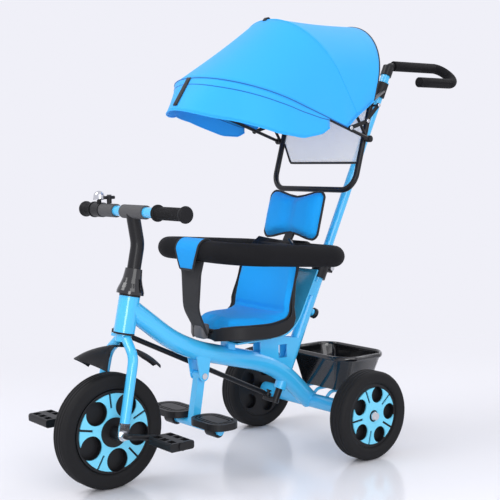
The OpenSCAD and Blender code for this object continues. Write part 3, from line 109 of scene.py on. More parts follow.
class TrikeSizes(bpy.types.PropertyGroup):
    """Sizes of the soft pieces and the trim"""
    hoop_turn: angle("Hoop direction", 74.14, "Direction of the canopy hoop from straight back, through up")
    hoop_rise: length("Hoop rise", 0.285, "Height of the hoop above the canopy pivots")
    hoop_half: length("Hoop half width", 0.153, "Half the width over the hoop")
    hoop_corner: length("Hoop corner", 0.147, "Corner radius over the hoop")
    mid_turn: angle("Middle bow direction", 122.0, "Direction of the middle bow")
    mid_rise: length("Middle bow length", 0.3255, "Length over the middle bow")
    mid_half: length("Middle bow half width", 0.1605, "Half the width over the middle bow")
    mid_corner: length("Middle bow corner", 0.1535, "Corner radius over the middle bow")
    front_turn: angle("Front bow direction", 160.9, "Direction of the front bow")
    front_rise: length("Front bow length", 0.414, "Length over the front bow")
    front_half: length("Front bow half width", 0.169, "Half the width over the front bow")
    front_corner: length("Front bow corner", 0.164, "Corner radius over the front bow")
    cover_start: length("Cover start", 0.092, "Distance of the cover's lower edge from the pivots")
    cover_gap: length("Cover gap", 0.003, "Gap between the bows and the middle of the cloth")
    cover_sag: length("Cover sag", 0.003, "How far the cloth sinks between two bows")
    cloth_t: length("Cloth thickness", 0.0012, "Thickness of the canopy cloth with its coating")
    visor_drop: length("Visor drop", 0.084, "Drop of the visor at its front")
    visor_flare: length("Visor flare", 0.002, "How far the visor's sides lean out")
    visor_start: length("Visor start", 0.140, "Distance of the visor's lower ends from the pivots")
    visor_drawn_start: length("Visor drawn start", 0.112, "The same on the side that is drawn up")
    visor_side: share("Visor side", 0.62, "Share of the half width beyond which the visor falls straight")
    visor_turn: angle("Visor direction", 237.0, "Direction in which the visor falls at its middle")
    mesh_foot: length("Mesh foot", 0.066, "Height of the mesh's lower edge along the hoop")
    pad_piping: length("Piping radius", 0.0027, "Radius of the black piping round the pads")
    seam_r: length("Seam radius", 0.0014, "Radius of a raised seam on the canopy")
    hem_r: length("Hem radius", 0.0018, "Radius of a rolled hem")
    pad_swell: length("Pad swell", 0.006, "How far a pad's cloth may swell")
    foam_wave: length("Foam unevenness", 0.0006, "Depth of the slow waves in the foam")


class TrikeView(bpy.types.PropertyGroup):
    """The camera's place"""
    place: FloatVectorProperty(name="Camera place", description="Where the camera stands",
                               default=(1.9369, -1.6200, 0.7071), subtype="TRANSLATION", unit="LENGTH", size=3)
    azimuth: angle("Azimuth", 51.516, "Turn of the view round the trike, from straight ahead")
    elevation: angle("Elevation", 5.045, "Height of the view over level")
    roll: angle("Roll", -0.659, "Tilt of the camera about its own line of sight")
    lens: FloatProperty(name="Lens", description="Focal length", default=76.18, unit="CAMERA")


def sizes():
    return bpy.context.scene.trike_sizes


def colours():
    return bpy.context.scene.trike_colours


# Small tools for meshes

# Spacing of the points along a hem or seam
TRIM_STEP = 0.008


def set_mode(mode):
    bpy.ops.object.mode_set(mode=mode)


def deselect():
    if bpy.context.object and bpy.context.object.mode != "OBJECT":
        set_mode("OBJECT")
    bpy.ops.object.select_all(action="DESELECT")


def activate(obj):
    deselect()
    obj.select_set(True)
    bpy.context.view_layer.objects.active = obj
    return obj


def apply_modifiers(obj):
    activate(obj)
    for modifier in list(obj.modifiers):
        bpy.ops.object.modifier_apply(modifier=modifier.name)
    return obj


def add_modifier(obj, kind, **values):
    modifier = obj.modifiers.new(kind.title(), kind)
    for key, value in values.items():
        setattr(modifier, key, value)
    return modifier


def smooth(obj, degrees=40):
    activate(obj)
    bpy.ops.object.shade_smooth_by_angle(angle=math.radians(degrees))
    return obj


def select_faces(obj, wanted):
    """Goes into edit mode with only those faces selected that the test wants."""
    activate(obj)
    set_mode("EDIT")
    bpy.ops.mesh.select_mode(type="FACE")
    bpy.ops.mesh.select_all(action="DESELECT")
    set_mode("OBJECT")
    for face in obj.data.polygons:
        face.select = wanted(face)
    set_mode("EDIT")


def raised(name, facing, inset, rise, edge, segments):
    """Shapes the new primitive: the faces that the test wants are inset and raised, and its edges rounded."""
    obj = bpy.context.object
    obj.name = name
    bpy.ops.object.transform_apply(location=True, rotation=True, scale=True)
    select_faces(obj, facing)
    bpy.ops.mesh.inset(thickness=inset, depth=rise)
    set_mode("OBJECT")
    add_modifier(obj, "BEVEL", width=edge, segments=segments)
    return smooth(apply_modifiers(obj), 50)


def new_object(name, data):
    obj = bpy.data.objects.new(name, data)
    bpy.context.scene.collection.objects.link(obj)
    return obj


def cad_copy(node, name):
    """A copy of a node's mesh whose loose triangles are joined and paired into quads."""
    obj = activate(new_object(name, frame["nodes"][node].data.copy()))
    obj.data.materials.clear()
    set_mode("EDIT")
    bpy.ops.mesh.select_all(action="SELECT")
    bpy.ops.mesh.remove_doubles(threshold=1e-5)
    bpy.ops.mesh.tris_convert_to_quads(face_threshold=math.radians(60), shape_threshold=math.radians(80))
    set_mode("OBJECT")
    return obj


def reshape(obj, move):
    """Moves each point of a mesh by a rule."""
    for vertex in obj.data.vertices:
        vertex.co = move(vertex.co)
    obj.data.update()
    return obj


def tube(name, points, radius, closed=False, facets=6):
    """A round cord along a list of points, as a mesh."""
    curve = bpy.data.curves.new(name, "CURVE")
    curve.dimensions = "3D"
    curve.bevel_depth = radius
    curve.bevel_resolution = facets // 2 - 1
    curve.use_fill_caps = not closed
    spline = curve.splines.new("POLY")
    spline.points.add(len(points) - 1)
    for point, place in zip(spline.points, points):
        point.co = (*place, 1.0)
    spline.use_cyclic_u = closed
    activate(new_object(name, curve))
    bpy.ops.object.convert(target="MESH")
    return smooth(bpy.context.object, 60)


def rounded(points, radii, closed, steps=10):
    """The points of a line whose corners are arcs of the given radii."""
    points = [Vector(p) for p in points]
    n = len(points)
    out = []
    for i, p in enumerate(points):
        if not closed and i in (0, n - 1):
            out.append(p)
            continue
        before, after = (points[i - 1] - p).normalized(), (points[(i + 1) % n] - p).normalized()
        half = before.angle(after) / 2
        radius = radii[i]
        middle = p + (before + after).normalized() * radius / math.sin(half)
        start, end = p + before * radius / math.tan(half), p + after * radius / math.tan(half)
        a, b = start - middle, end - middle
        whole = a.angle(b)
        out += [middle + (a * math.sin(whole * (1 - t)) + b * math.sin(whole * t)) / math.sin(whole)
                for t in shares(steps)]
    return out


def spaced(points, step, closed=False):
    """Points at an even spacing along a line."""
    line = np.array([tuple(p) for p in points] + ([tuple(points[0])] if closed else []))
    along = np.concatenate([[0], np.cumsum(np.linalg.norm(np.diff(line, axis=0), axis=1))])
    count = max(2, round(along[-1] / step))
    at = np.linspace(0, along[-1], count + 1)[:count if closed else count + 1]
    return np.stack([np.interp(at, along, line[:, k]) for k in range(3)], 1)


def cloth_grid(name, rows, thickness):
    """A sheet over rows of points, with a map in metres along the cloth, and a thickness."""
    grid = np.array(rows, float)
    count, across = grid.shape[:2]
    faces = [(i * across + j, i * across + j + 1, (i + 1) * across + j + 1, (i + 1) * across + j)
             for i in range(count - 1) for j in range(across - 1)]
    mesh = bpy.data.meshes.new(name)
    mesh.from_pydata(grid.reshape(-1, 3).tolist(), [], faces)
    u = np.concatenate([np.zeros((count, 1)), np.cumsum(np.linalg.norm(np.diff(grid, axis=1), axis=2), 1)], 1)
    v = np.concatenate([np.zeros((1, across)), np.cumsum(np.linalg.norm(np.diff(grid, axis=0), axis=2), 0)], 0)
    u -= u[:, across // 2:across // 2 + 1]
    flat = np.stack([u, v], -1).reshape(-1, 2)
    layer = mesh.uv_layers.new(name="cloth")
    for loop, corner in zip(mesh.loops, layer.data):
        corner.uv = flat[loop.vertex_index]
    obj = smooth(new_object(name, mesh), 80)
    obj["cut_area"] = sum(p.area for p in mesh.polygons)
    obj["cut_size"] = (float(np.ptp(u, axis=1).max()), float(v[-1].max()))
    add_modifier(obj, "SOLIDIFY", thickness=thickness, offset=0.0)
    return apply_modifiers(obj)


def finished(obj, body, slot, *nodes, finish=None):
    """Gives a piece its finish, which is its slot's unless named, its body and the nodes that it stands for."""
    obj.data.materials.clear()
    obj.data.materials.append(FINISH[finish or slot])
    if body:
        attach(obj, body)
    if nodes:
        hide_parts(*nodes)
    return obj


def trim(name, line, radius, body, slot, closed=False, step=TRIM_STEP, finish=None):
    """A piping, hem or seam along a line."""
    return finished(tube(name, spaced(line, step, closed), radius, closed), body, slot, finish=finish)


def recut(node, name, move, degrees):
    """A smooth copy of a node's mesh, reshaped by a rule."""
    return smooth(reshape(cad_copy(node, name), move), degrees)


def shares(count):
    """Even steps from 0 to 1."""
    return [k / count for k in range(count + 1)]


def sides(count):
    """Even steps from -1 to 1, count of them on each side."""
    return [k / count - 1 for k in range(2 * count + 1)]


def ease(t):
    t = min(1.0, max(0.0, t))
    return t * t * (3 - 2 * t)


def table(at, pairs):
    return float(np.interp(at, [p[0] for p in pairs], [p[1] for p in pairs]))


def heading(turn):
    """A direction in the middle plane, turned from straight back through up."""
    return Vector((0, math.cos(turn), math.sin(turn)))


def axle_point(side, back, up):
    return Vector((side, AXLE_Y + back, up))


# Finishes

def node_group(name, inputs, outputs):
    """A shader group with named sockets; gives its tree, entry and exit."""
    tree = bpy.data.node_groups.new(name, "ShaderNodeTree")
    for label, kind, default in inputs:
        socket = tree.interface.new_socket(label, in_out="INPUT", socket_type=kind)
        if default is not None:
            socket.default_value = default
    for label, kind in outputs:
        tree.interface.new_socket(label, in_out="OUTPUT", socket_type=kind)
    return tree, tree.nodes.new("NodeGroupInput"), tree.nodes.new("NodeGroupOutput")


def fill(tree, node, values):
    """Links or sets the sockets of a node."""
    for key, value in values.items():
        if isinstance(value, bpy.types.NodeSocket):
            tree.links.new(value, node.inputs[key])
        else:
            node.inputs[key].default_value = value
    return node


def add_node(tree, kind, values, **settings):
    node = tree.nodes.new(kind)
    for key, value in settings.items():
        setattr(node, key, value)
    return fill(tree, node, values)


def math_node(tree, operation, *values):
    return add_node(tree, "ShaderNodeMath", dict(enumerate(values)), operation=operation).outputs[0]


# How the mesh's weave fills it: gain and least
MESH_FILL = (0.9, 0.02)
FLOAT, VECTOR, COLOR = "NodeSocketFloat", "NodeSocketVector", "NodeSocketColor"


def grain_group():
    """Fine moulded grain: a roughness that wanders and a height."""
    tree, enter, leave = node_group(
        "moulded_grain",
        [("Vector", VECTOR, None), ("Scale", FLOAT, 600.0), ("Roughness", FLOAT, 0.5), ("Spread", FLOAT, 0.1)],
        [("Roughness", FLOAT), ("Height", FLOAT)])
    fine = add_node(tree, "ShaderNodeTexNoise", {
        "Vector": enter.outputs["Vector"], "Scale": enter.outputs["Scale"], "Detail": 3.0})
    slow = add_node(tree, "ShaderNodeTexNoise", {
        "Vector": enter.outputs["Vector"], "Scale": 18.0, "Detail": 4.0})
    mixed = math_node(tree, "ADD", math_node(tree, "MULTIPLY", fine.outputs[0], 0.5),
                      math_node(tree, "MULTIPLY", slow.outputs[0], 0.5))
    swing = math_node(tree, "MULTIPLY", math_node(tree, "SUBTRACT", mixed, 0.5), enter.outputs["Spread"])
    rough = math_node(tree, "ADD", enter.outputs["Roughness"], swing)
    fill(tree, leave, {"Roughness": rough, "Height": fine.outputs[0]})
    return tree


def drift_group():
    """A colour that drifts a little lighter and darker over the surface."""
    tree, enter, leave = node_group(
        "colour_drift",
        [("Vector", VECTOR, None), ("Color", COLOR, (0.5, 0.5, 0.5, 1.0)), ("Scale", FLOAT, 9.0),
         ("Spread", FLOAT, 0.1)],
        [("Color", COLOR)])
    noise = add_node(tree, "ShaderNodeTexNoise", {
        "Vector": enter.outputs["Vector"], "Scale": enter.outputs["Scale"], "Detail": 5.0})
    swing = math_node(tree, "MULTIPLY", math_node(tree, "SUBTRACT", noise.outputs[0], 0.5), enter.outputs["Spread"])
    scaled = add_node(tree, "ShaderNodeVectorMath", {
        0: enter.outputs["Color"], "Scale": math_node(tree, "ADD", swing, 1.0)}, operation="SCALE")
    fill(tree, leave, {"Color": scaled.outputs[0]})
    return tree


def weave_group():
    """Plain woven threads: a height and a shade that is low between the threads."""
    tree, enter, leave = node_group(
        "plain_weave", [("Vector", VECTOR, None), ("Threads", FLOAT, 900.0)], [("Height", FLOAT), ("Shade", FLOAT)])
    place = add_node(tree, "ShaderNodeSeparateXYZ", {0: enter.outputs["Vector"]})
    turns = math_node(tree, "MULTIPLY", enter.outputs["Threads"], 2 * math.pi)
    waves = [math_node(tree, "SINE", math_node(tree, "MULTIPLY", place.outputs[k], turns)) for k in range(3)]
    cross = math_node(tree, "MULTIPLY", math_node(tree, "ADD", waves[0], waves[2]),
                      math_node(tree, "ADD", waves[1], waves[2]))
    height = math_node(tree, "MULTIPLY_ADD", cross, 0.2, 0.5)
    fill(tree, leave, {"Height": height, "Shade": height})
    return tree


GROUPS = {}


def effect(tree, name, values):
    """Places a shared effect in a material's tree."""
    if name not in GROUPS:
        GROUPS[name] = {"grain": grain_group, "drift": drift_group, "weave": weave_group}[name]()
    return add_node(tree, "ShaderNodeGroup", values, node_tree=GROUPS[name])


def start_material(name):
    material = bpy.data.materials.new(name)
    material.use_nodes = True
    tree = material.node_tree
    shader = tree.nodes["Principled BSDF"]
    place = tree.nodes.new("ShaderNodeTexCoord")
    return material, tree, shader, place


def hard_finish(name, tint, rough, metal=0.0, coat=0.0, scale=700.0, spread=0.12, depth=0.00004, drift=0.10,
                specular=0.5):
    """Paint, plastic, rubber or metal with a fine grain and a wandering gloss."""
    material, tree, shader, place = start_material(name)
    where = place.outputs["Object"]
    hue = effect(tree, "drift", {"Vector": where, "Color": (*tint, 1.0), "Spread": drift})
    grain = effect(tree, "grain", {"Vector": where, "Scale": scale, "Roughness": rough, "Spread": spread})
    bump = add_node(tree, "ShaderNodeBump", {"Height": grain.outputs["Height"], "Distance": depth, "Strength": 1.0})
    fill(tree, shader, {"Base Color": hue.outputs["Color"], "Roughness": grain.outputs["Roughness"],
                        "Normal": bump.outputs[0], "Metallic": metal, "Coat Weight": coat, "Coat Roughness": 0.08,
                        "Specular IOR Level": specular})
    return material


def cloth_finish(name, tint, threads, rough=0.75, sheen=0.25, mapped=False, shade=0.25, depth=0.0002, drift=0.12,
                 holes=False):
    """Woven cloth, whose threads follow the piece's own map where it has one."""
    material, tree, shader, place = start_material(name)
    where = place.outputs["UV" if mapped else "Object"]
    hue = effect(tree, "drift", {"Vector": place.outputs["Object"], "Color": (*tint, 1.0), "Spread": drift})
    weave = effect(tree, "weave", {"Vector": where, "Threads": threads})
    darker = math_node(tree, "MULTIPLY_ADD", weave.outputs["Shade"], shade, 1.0 - shade / 2)
    tone = add_node(tree, "ShaderNodeVectorMath", {0: hue.outputs["Color"], "Scale": darker}, operation="SCALE")
    bump = add_node(tree, "ShaderNodeBump", {"Height": weave.outputs["Height"], "Distance": depth, "Strength": 0.6})
    grain = effect(tree, "grain", {"Vector": place.outputs["Object"], "Scale": 250.0, "Roughness": rough,
                                   "Spread": 0.15})
    fill(tree, shader, {"Base Color": tone.outputs[0], "Roughness": grain.outputs["Roughness"],
                        "Normal": bump.outputs[0], "Sheen Weight": sheen, "Sheen Roughness": 0.5,
                        "Specular IOR Level": 0.3})
    if holes:
        filled = math_node(tree, "MULTIPLY_ADD", weave.outputs["Shade"], *MESH_FILL)
        fill(tree, shader, {"Alpha": filled})
    return material


FINISH = {}
# Share of the canopy's colour that its seams keep: the visor's seams get a darker copy of the canopy's blue
SEAM_SHADE = (0.2, 0.36, 0.5)


def make_finishes():
    c = colours()
    FINISH.update(
        blue_paint=hard_finish("gloss_blue_paint", c.frame_blue, 0.22, coat=0.6, scale=260, spread=0.08,
                               depth=0.00003, drift=0.05),
        black_plastic=hard_finish("moulded_black_plastic", c.soft_black, 0.46, scale=1100, depth=0.00006,
                                  specular=0.3),
        gloss_black=hard_finish("gloss_black_plastic", c.soft_black, 0.16, coat=0.4, scale=300, spread=0.06,
                                depth=0.00002),
        black_paint=hard_finish("satin_black_paint", c.soft_black, 0.4, coat=0.1, scale=500, depth=0.00003,
                                specular=0.25),
        black_foam=hard_finish("black_foam_skin", c.soft_black, 0.8, scale=1500, spread=0.1, depth=0.00025,
                               specular=0.15),
        grip_rubber=hard_finish("grip_rubber", c.soft_black, 0.6, scale=1200, depth=0.00008, specular=0.2),
        grey_rubber=hard_finish("grey_sleeve_rubber", c.sleeve_grey, 0.6, scale=1200, depth=0.00008, specular=0.35),
        tyre_black=hard_finish("tyre_rubber", c.tyre_black, 0.68, scale=900, spread=0.18, depth=0.0001, drift=0.25,
                               specular=0.22),
        star_blue=hard_finish("star_plastic", c.star_blue, 0.3, coat=0.2, scale=500, spread=0.08, depth=0.00003,
                              drift=0.06),
        bright_steel=hard_finish("bright_plating", c.bright, 0.16, metal=1.0, scale=350, spread=0.12, depth=0.00001,
                                 drift=0.08),
        seat_cloth=cloth_finish("seat_cloth", c.seat_blue, 700.0, sheen=0.06),
        black_webbing=cloth_finish("black_webbing", c.web_black, 600.0, sheen=0.1),
        nose_grey=hard_finish("nose_plastic", c.nose_grey, 0.45, scale=900),
        canopy_fabric=cloth_finish("canopy_cloth", c.canopy_blue, 1100.0, rough=0.62, sheen=0.1, mapped=True,
                                   shade=0.12, depth=0.0001, drift=0.06),
        mesh_fabric=cloth_finish("window_mesh", c.mesh_white, 420.0, mapped=True, shade=0.1, holes=True),
        # The visor's seams: the canopy's blue scaled down by the seam shares
        seam_blue=cloth_finish("darker_seam_cloth", tuple(k * x for k, x in zip(SEAM_SHADE, c.canopy_blue)), 900.0),
    )


class TRIKE_OT_finishes(bpy.types.Operator):
    """Make the finishes and give each frame node its own"""
    bl_idname = "trike.finishes"
    bl_label = "Finishes"

    def execute(self, context):
        make_finishes()
        for part in frame["record"]["subparts"]:
            materials = frame["nodes"][part["node"]].data.materials
            materials.clear()
            materials.append(FINISH[part["material_slot"]])
        for node, finish in (("canopy_pivots", "black_plastic"), ("crank", "black_paint")):
            frame["nodes"][node].data.materials[0] = FINISH[finish]
        return {"FINISHED"}


# Seat

PAN_LEN, SEAT_BEND_R, BACK_LEN, BACK_LEAN = 0.157, 0.050, 0.160, math.radians(15)
SEAT_AHEAD, SEAT_Z, SEAT_HALF = 0.322, 0.314, 0.116
LIP_RISE, WING, FRONT_FALL, FRONT_RUN = 0.014, 0.040, 0.006, 0.045
SEAT_TURN = math.pi / 2 - BACK_LEAN
SEAT_ARC = SEAT_TURN * SEAT_BEND_R
SEAT_LEN = PAN_LEN + SEAT_ARC + BACK_LEN
SEAT_W_SHARES = [(0, 0.36), (0.05, 0.66), (0.12, 0.88), (0.25, 1), (0.55, 1), (0.82, 0.98), (0.92, 0.84), (1, 0.5)]
PAD_W_SHARES = [(0, 0.28), (0.05, 0.57), (0.12, 0.78), (0.25, 0.9), (0.55, 0.9), (0.82, 0.88), (0.92, 0.74), (1, 0.4)]
PAD_INSET = 0.03
PAD_EDGE, SEAT_GAP = 0.0022, 0.003
NOSE_MIDDLE, NOSE_SIZE = (-0.325, 0.313), (0.034, 0.018, 0.034)
NOSE_INSET, NOSE_EDGE, SHELL_EDGE = 0.006, 0.005, 0.003
# How far the shell's back and the pad are widened: the share, the height where it starts and its run
SHELL_WIDEN, PAD_WIDEN = (-0.075, 0.36, 0.06), (0.07, 0.38, 0.12)
PAD_VOXEL, PILLOW_VOXEL, PAD_PRESSURE = 0.0045, 0.004, 4.0
PAD_FACING = (0, -0.7, 0.7)
PAD_TRIM_STEP, PILLOW_TRIM_STEP = 0.006, 0.007


def seat_line(s):
    """The line under the pad from the front edge over the crease to the top: back, up and slope."""
    if s <= PAN_LEN:
        return -SEAT_AHEAD + s, SEAT_Z, 0.0
    if s <= PAN_LEN + SEAT_ARC:
        a = (s - PAN_LEN) / SEAT_ARC * SEAT_TURN
        return -SEAT_AHEAD + PAN_LEN + SEAT_BEND_R * math.sin(a), SEAT_Z + SEAT_BEND_R * (1 - math.cos(a)), a
    d = s - PAN_LEN - SEAT_ARC
    return (-SEAT_AHEAD + PAN_LEN + SEAT_BEND_R * math.sin(SEAT_TURN) + d * math.cos(SEAT_TURN),
            SEAT_Z + SEAT_BEND_R * (1 - math.cos(SEAT_TURN)) + d * math.sin(SEAT_TURN), SEAT_TURN)


def seat_at(u, v, half, rise):
    back, up, slope = seat_line(u * SEAT_LEN)
    rear = ease((u * SEAT_LEN - PAN_LEN + SEAT_BEND_R) / (2 * SEAT_ARC))
    curl = (1 - rear) * LIP_RISE * abs(v) ** 4 + rear * WING * abs(v) ** 2.5
    front = FRONT_FALL * max(0.0, 1 - u * SEAT_LEN / FRONT_RUN) ** 2
    h = rise + curl - front
    return Vector((half * v, AXLE_Y + back - h * math.sin(slope), up + h * math.cos(slope)))


def widened(widen):
    """A rule that widens or slims a seat piece from a height upwards."""
    amount, start, run = widen
    return lambda p: Vector((p.x * (1 + amount * ease((p.z - start) / run)), p.y, p.z))


def pad_edge_line(rise):
    """The seat pad's outline at a rise over the shell."""
    def at(t, v):
        u = PAD_INSET + (1 - 2 * PAD_INSET) * t
        half = SEAT_HALF * table(u, SEAT_W_SHARES)
        return seat_at(u, v * table(u, PAD_W_SHARES) / table(u, SEAT_W_SHARES), half, rise)
    steps, across = shares(48), sides(10)[1:-1]
    return ([at(t, -1) for t in steps] + [at(1, v) for v in across] + [at(t, 1) for t in reversed(steps)]
            + [at(0, -v) for v in across])


def inflate(obj, voxel, pressure, swell, towards):
    """Swells a pad's cloth on the side that faces its user, and leaves the side that rests."""
    add_modifier(obj, "REMESH", mode="VOXEL", voxel_size=voxel)
    apply_modifiers(obj)
    scene = bpy.context.scene
    rest = np.array([v.co for v in obj.data.vertices])
    facing = np.array([v.normal for v in obj.data.vertices]) @ np.array(Vector(towards).normalized())
    cloth = add_modifier(obj, "CLOTH").settings
    cloth.use_pressure = True
    cloth.uniform_pressure_force = pressure
    cloth.effector_weights.gravity = 0.0
    cloth.tension_stiffness = cloth.compression_stiffness = 25.0
    for step in range(1, 21):
        scene.frame_set(step)
    shown = obj.evaluated_get(bpy.context.evaluated_depsgraph_get())
    moved = np.array([v.co for v in shown.data.vertices]) - rest
    far = np.linalg.norm(moved, axis=1, keepdims=True)
    limit = swell * np.clip(facing * 2 + 0.3, 0, 1)[:, None]
    obj.modifiers.clear()
    scene.frame_set(1)
    places = rest + moved * np.minimum(1, limit / np.maximum(far, 1e-9))
    obj.data.vertices.foreach_set("co", places.astype(np.float32).ravel())
    obj.data.update()
    add_modifier(obj, "SMOOTH", factor=0.5, iterations=6)
    add_modifier(obj, "SUBSURF", levels=1, render_levels=1)
    return smooth(apply_modifiers(obj), 80)


class TRIKE_OT_seat(bpy.types.Operator):
    """Make the moulded seat shell, its padded cover and the piping"""
    bl_idname = "trike.seat"
    bl_label = "Seat"

    def execute(self, context):
        s = sizes()
        shell = recut("seat_shell", "seat_bucket", widened(SHELL_WIDEN), 50)
        add_modifier(shell, "BEVEL", width=SHELL_EDGE, segments=3, limit_method="ANGLE",
                     angle_limit=math.radians(50))
        finished(smooth(apply_modifiers(shell), 50), "frame", "black_plastic", "seat_shell", finish="black_paint")
        wide_back = widened(PAD_WIDEN)
        pad = reshape(cad_copy("seat_cushion", "seat_pad_cover"), wide_back)
        pad = inflate(pad, PAD_VOXEL, PAD_PRESSURE, s.pad_swell, PAD_FACING)
        finished(pad, "frame", "seat_cloth", "seat_cushion")
        line = [wide_back(p) for p in pad_edge_line(SEAT_GAP + PAD_EDGE / 2)]
        trim("seat_piping", line, s.pad_piping, "frame", "black_webbing", True, PAD_TRIM_STEP)
        self.nose()
        return {"FINISHED"}

    def nose(self):
        """The rounded plastic nose at the seat's front, which holds the strap."""
        deselect()
        bpy.ops.mesh.primitive_cube_add(size=1.0, location=axle_point(0, *NOSE_MIDDLE))
        bpy.context.object.scale = NOSE_SIZE
        nose = raised("seat_nose", lambda face: face.normal.y < -0.9, NOSE_INSET, NOSE_INSET, NOSE_EDGE, 4)
        finished(nose, "frame", "black_plastic", finish="nose_grey")


# Headrest

PILLOW_HALF, PILLOW_HIGH = 0.102, 0.058
PILLOW_AHEAD, PILLOW_Z = 0.045, 0.570
PILLOW_SHARES = [(0, 0.8), (0.3, 0.88), (0.62, 1), (0.85, 0.86), (1, 0.5)]
# The cover's own outline, whose corners are fuller than the foam's
COVER_SHARES = [(0, 0.76), (0.3, 0.83), (0.62, 0.96), (0.85, 1), (0.94, 0.95), (1, 0.78)]
COVER_WIDTH_SHARE, COVER_DROP = 0.955, 0.004


class TRIKE_OT_headrest(bpy.types.Operator):
    """Make the headrest pillow and its piping"""
    bl_idname = "trike.headrest"
    bl_label = "Headrest"

    def execute(self, context):
        s = sizes()
        front = heading(math.pi - BACK_LEAN)
        up = heading(math.pi / 2 - BACK_LEAN)
        centre = axle_point(0, -PILLOW_AHEAD, PILLOW_Z)

        def fuller(p):
            u, v = min(1.0, abs(p.x) / PILLOW_HALF), (p - centre).dot(up)
            grown = v * (table(u, COVER_SHARES) / table(u, PILLOW_SHARES) - 1) - COVER_DROP
            return Vector((p.x * COVER_WIDTH_SHARE, p.y, p.z)) + grown * up
        pillow = reshape(cad_copy("headrest_pillow", "headrest_cover"), fuller)
        pillow = inflate(pillow, PILLOW_VOXEL, PAD_PRESSURE, s.pad_swell / 2, front)
        finished(pillow, "frame", "seat_cloth", "headrest_pillow")

        def edge(u, v):
            rise = PILLOW_HIGH * table(abs(u), COVER_SHARES) * v - COVER_DROP
            return centre + rise * up + Vector((COVER_WIDTH_SHARE * PILLOW_HALF * u, 0, 0))
        steps = sides(20)
        line = [edge(u, 1) for u in steps] + [edge(u, -1) for u in reversed(steps)]
        trim("headrest_piping", line, s.pad_piping, "frame", "black_webbing", True, PILLOW_TRIM_STEP)
        return {"FINISHED"}


# Guard ring

GUARD_HALF, GUARD_R = 0.162, 0.025
GUARD_FRONT, GUARD_REAR = (-0.339, 0.498), (-0.040, 0.474)
GUARD_FRONT_BEND, GUARD_REAR_BEND = 0.075, 0.045
GUARD_STEP, GUARD_WAVE, HANDLE_WAVE = 0.006, 0.05, 0.04
FLAP_TAIL, FLAP_GAP, FLAP_BELLY, FLAP_T = 0.041, 0.0018, 0.0006, 0.002
BINDING_SHARE, BINDING_STEP = 1.4, 0.004
# Half widths along the flap from its rear edge over the bar, and along the strap from the bar to the seat
FLAP_HALVES = [(0, 0.035), (0.25, 0.042), (0.62, 0.042), (1, 0.024)]
STRAP_HALVES = [(0, 0.046), (0.16, 0.036), (0.5, 0.031), (0.85, 0.024), (1, 0.020)]
STRAP_T, STRAP_GAP, STRAP_BEND = 0.004, 0.0008, 0.060
STRAP_KNEE, STRAP_FOOT, STRAP_FORWARD = (-0.355, 0.365), (-0.3243, 0.304), 0.013


def wavy(obj, depth, size):
    """Gives a skin slow shallow waves."""
    texture = bpy.data.textures.new(obj.name + "_waves", "CLOUDS")
    texture.noise_scale = size
    add_modifier(obj, "DISPLACE", texture=texture, strength=depth, mid_level=0.5, texture_coords="LOCAL")
    return smooth(apply_modifiers(obj), 60)


class TRIKE_OT_guard(bpy.types.Operator):
    """Make the guard ring's foam, its front flap and the crotch strap"""
    bl_idname = "trike.guard"
    bl_label = "Guard ring"

    def execute(self, context):
        s = sizes()
        corners = [axle_point(GUARD_HALF, *GUARD_REAR), axle_point(GUARD_HALF, *GUARD_FRONT),
                   axle_point(-GUARD_HALF, *GUARD_FRONT), axle_point(-GUARD_HALF, *GUARD_REAR)]
        bends = [GUARD_REAR_BEND, GUARD_FRONT_BEND, GUARD_FRONT_BEND, GUARD_REAR_BEND]
        line = spaced(rounded(corners, bends, True, 24), GUARD_STEP, True)
        foam = tube("guard_foam_sleeve", line, GUARD_R - s.foam_wave / 2, True, 32)
        foam = wavy(foam, s.foam_wave, GUARD_WAVE)
        finished(foam, "frame", "black_foam", "guard_foam")
        self.flap(s)
        self.strap()
        return {"FINISHED"}

    def flap(self, s):
        """Cloth that wraps over the ring's front bar and hangs down before it."""
        reach = GUARD_R + FLAP_GAP
        back, up = GUARD_FRONT
        wrap = [(back + reach * math.cos(a), up + reach * math.sin(a))
                for a in (math.radians(d) for d in range(60, 181, 8))]
        tail = [(back - reach - FLAP_BELLY * math.sin(math.pi * t), up - FLAP_TAIL * t)
                for t in shares(8)[1:]]
        line = wrap + tail
        rows = []
        for k, (b, z) in enumerate(line):
            half = table(k / (len(line) - 1), FLAP_HALVES)
            rows.append([axle_point(half * v, b, z) for v in sides(12)])
        flap = cloth_grid("guard_flap_cloth", rows, FLAP_T)
        finished(flap, "frame", "seat_cloth", "guard_flap")
        outline = [r[0] for r in rows] + rows[-1] + [r[-1] for r in reversed(rows)] + list(reversed(rows[0]))
        binding = trim("guard_flap_binding", outline, BINDING_SHARE * s.hem_r, "frame", "black_webbing", True,
                       BINDING_STEP)

    def strap(self):
        """The padded strap from the ring's front bar down to the seat's front edge."""
        under = math.sqrt((GUARD_R + STRAP_GAP) ** 2 - STRAP_FORWARD ** 2)
        top = (GUARD_FRONT[0] - STRAP_FORWARD, GUARD_FRONT[1] - under)
        line = rounded([axle_point(0, *top), axle_point(0, *STRAP_KNEE), axle_point(0, *STRAP_FOOT)],
                       [0, STRAP_BEND, 0], False)
        line = spaced(line, TRIM_STEP)
        rows = []
        for k, p in enumerate(line):
            half = table(k / (len(line) - 1), STRAP_HALVES)
            rows.append([Vector((half * v, p[1], p[2])) for v in sides(10)])
        strap = cloth_grid("crotch_strap_web", rows, STRAP_T)
        finished(strap, "frame", "black_webbing", "crotch_strap")


# Push handle

class TRIKE_OT_handle(bpy.types.Operator):
    """Make the push handle's foam"""
    bl_idname = "trike.handle"
    bl_label = "Push handle"

    def execute(self, context):
        foam = wavy(cad_copy("handle_foam", "handle_foam_sleeve"), sizes().foam_wave / 2, HANDLE_WAVE)
        finished(foam, "handle", "black_foam", "handle_foam")
        return {"FINISHED"}


# Canopy

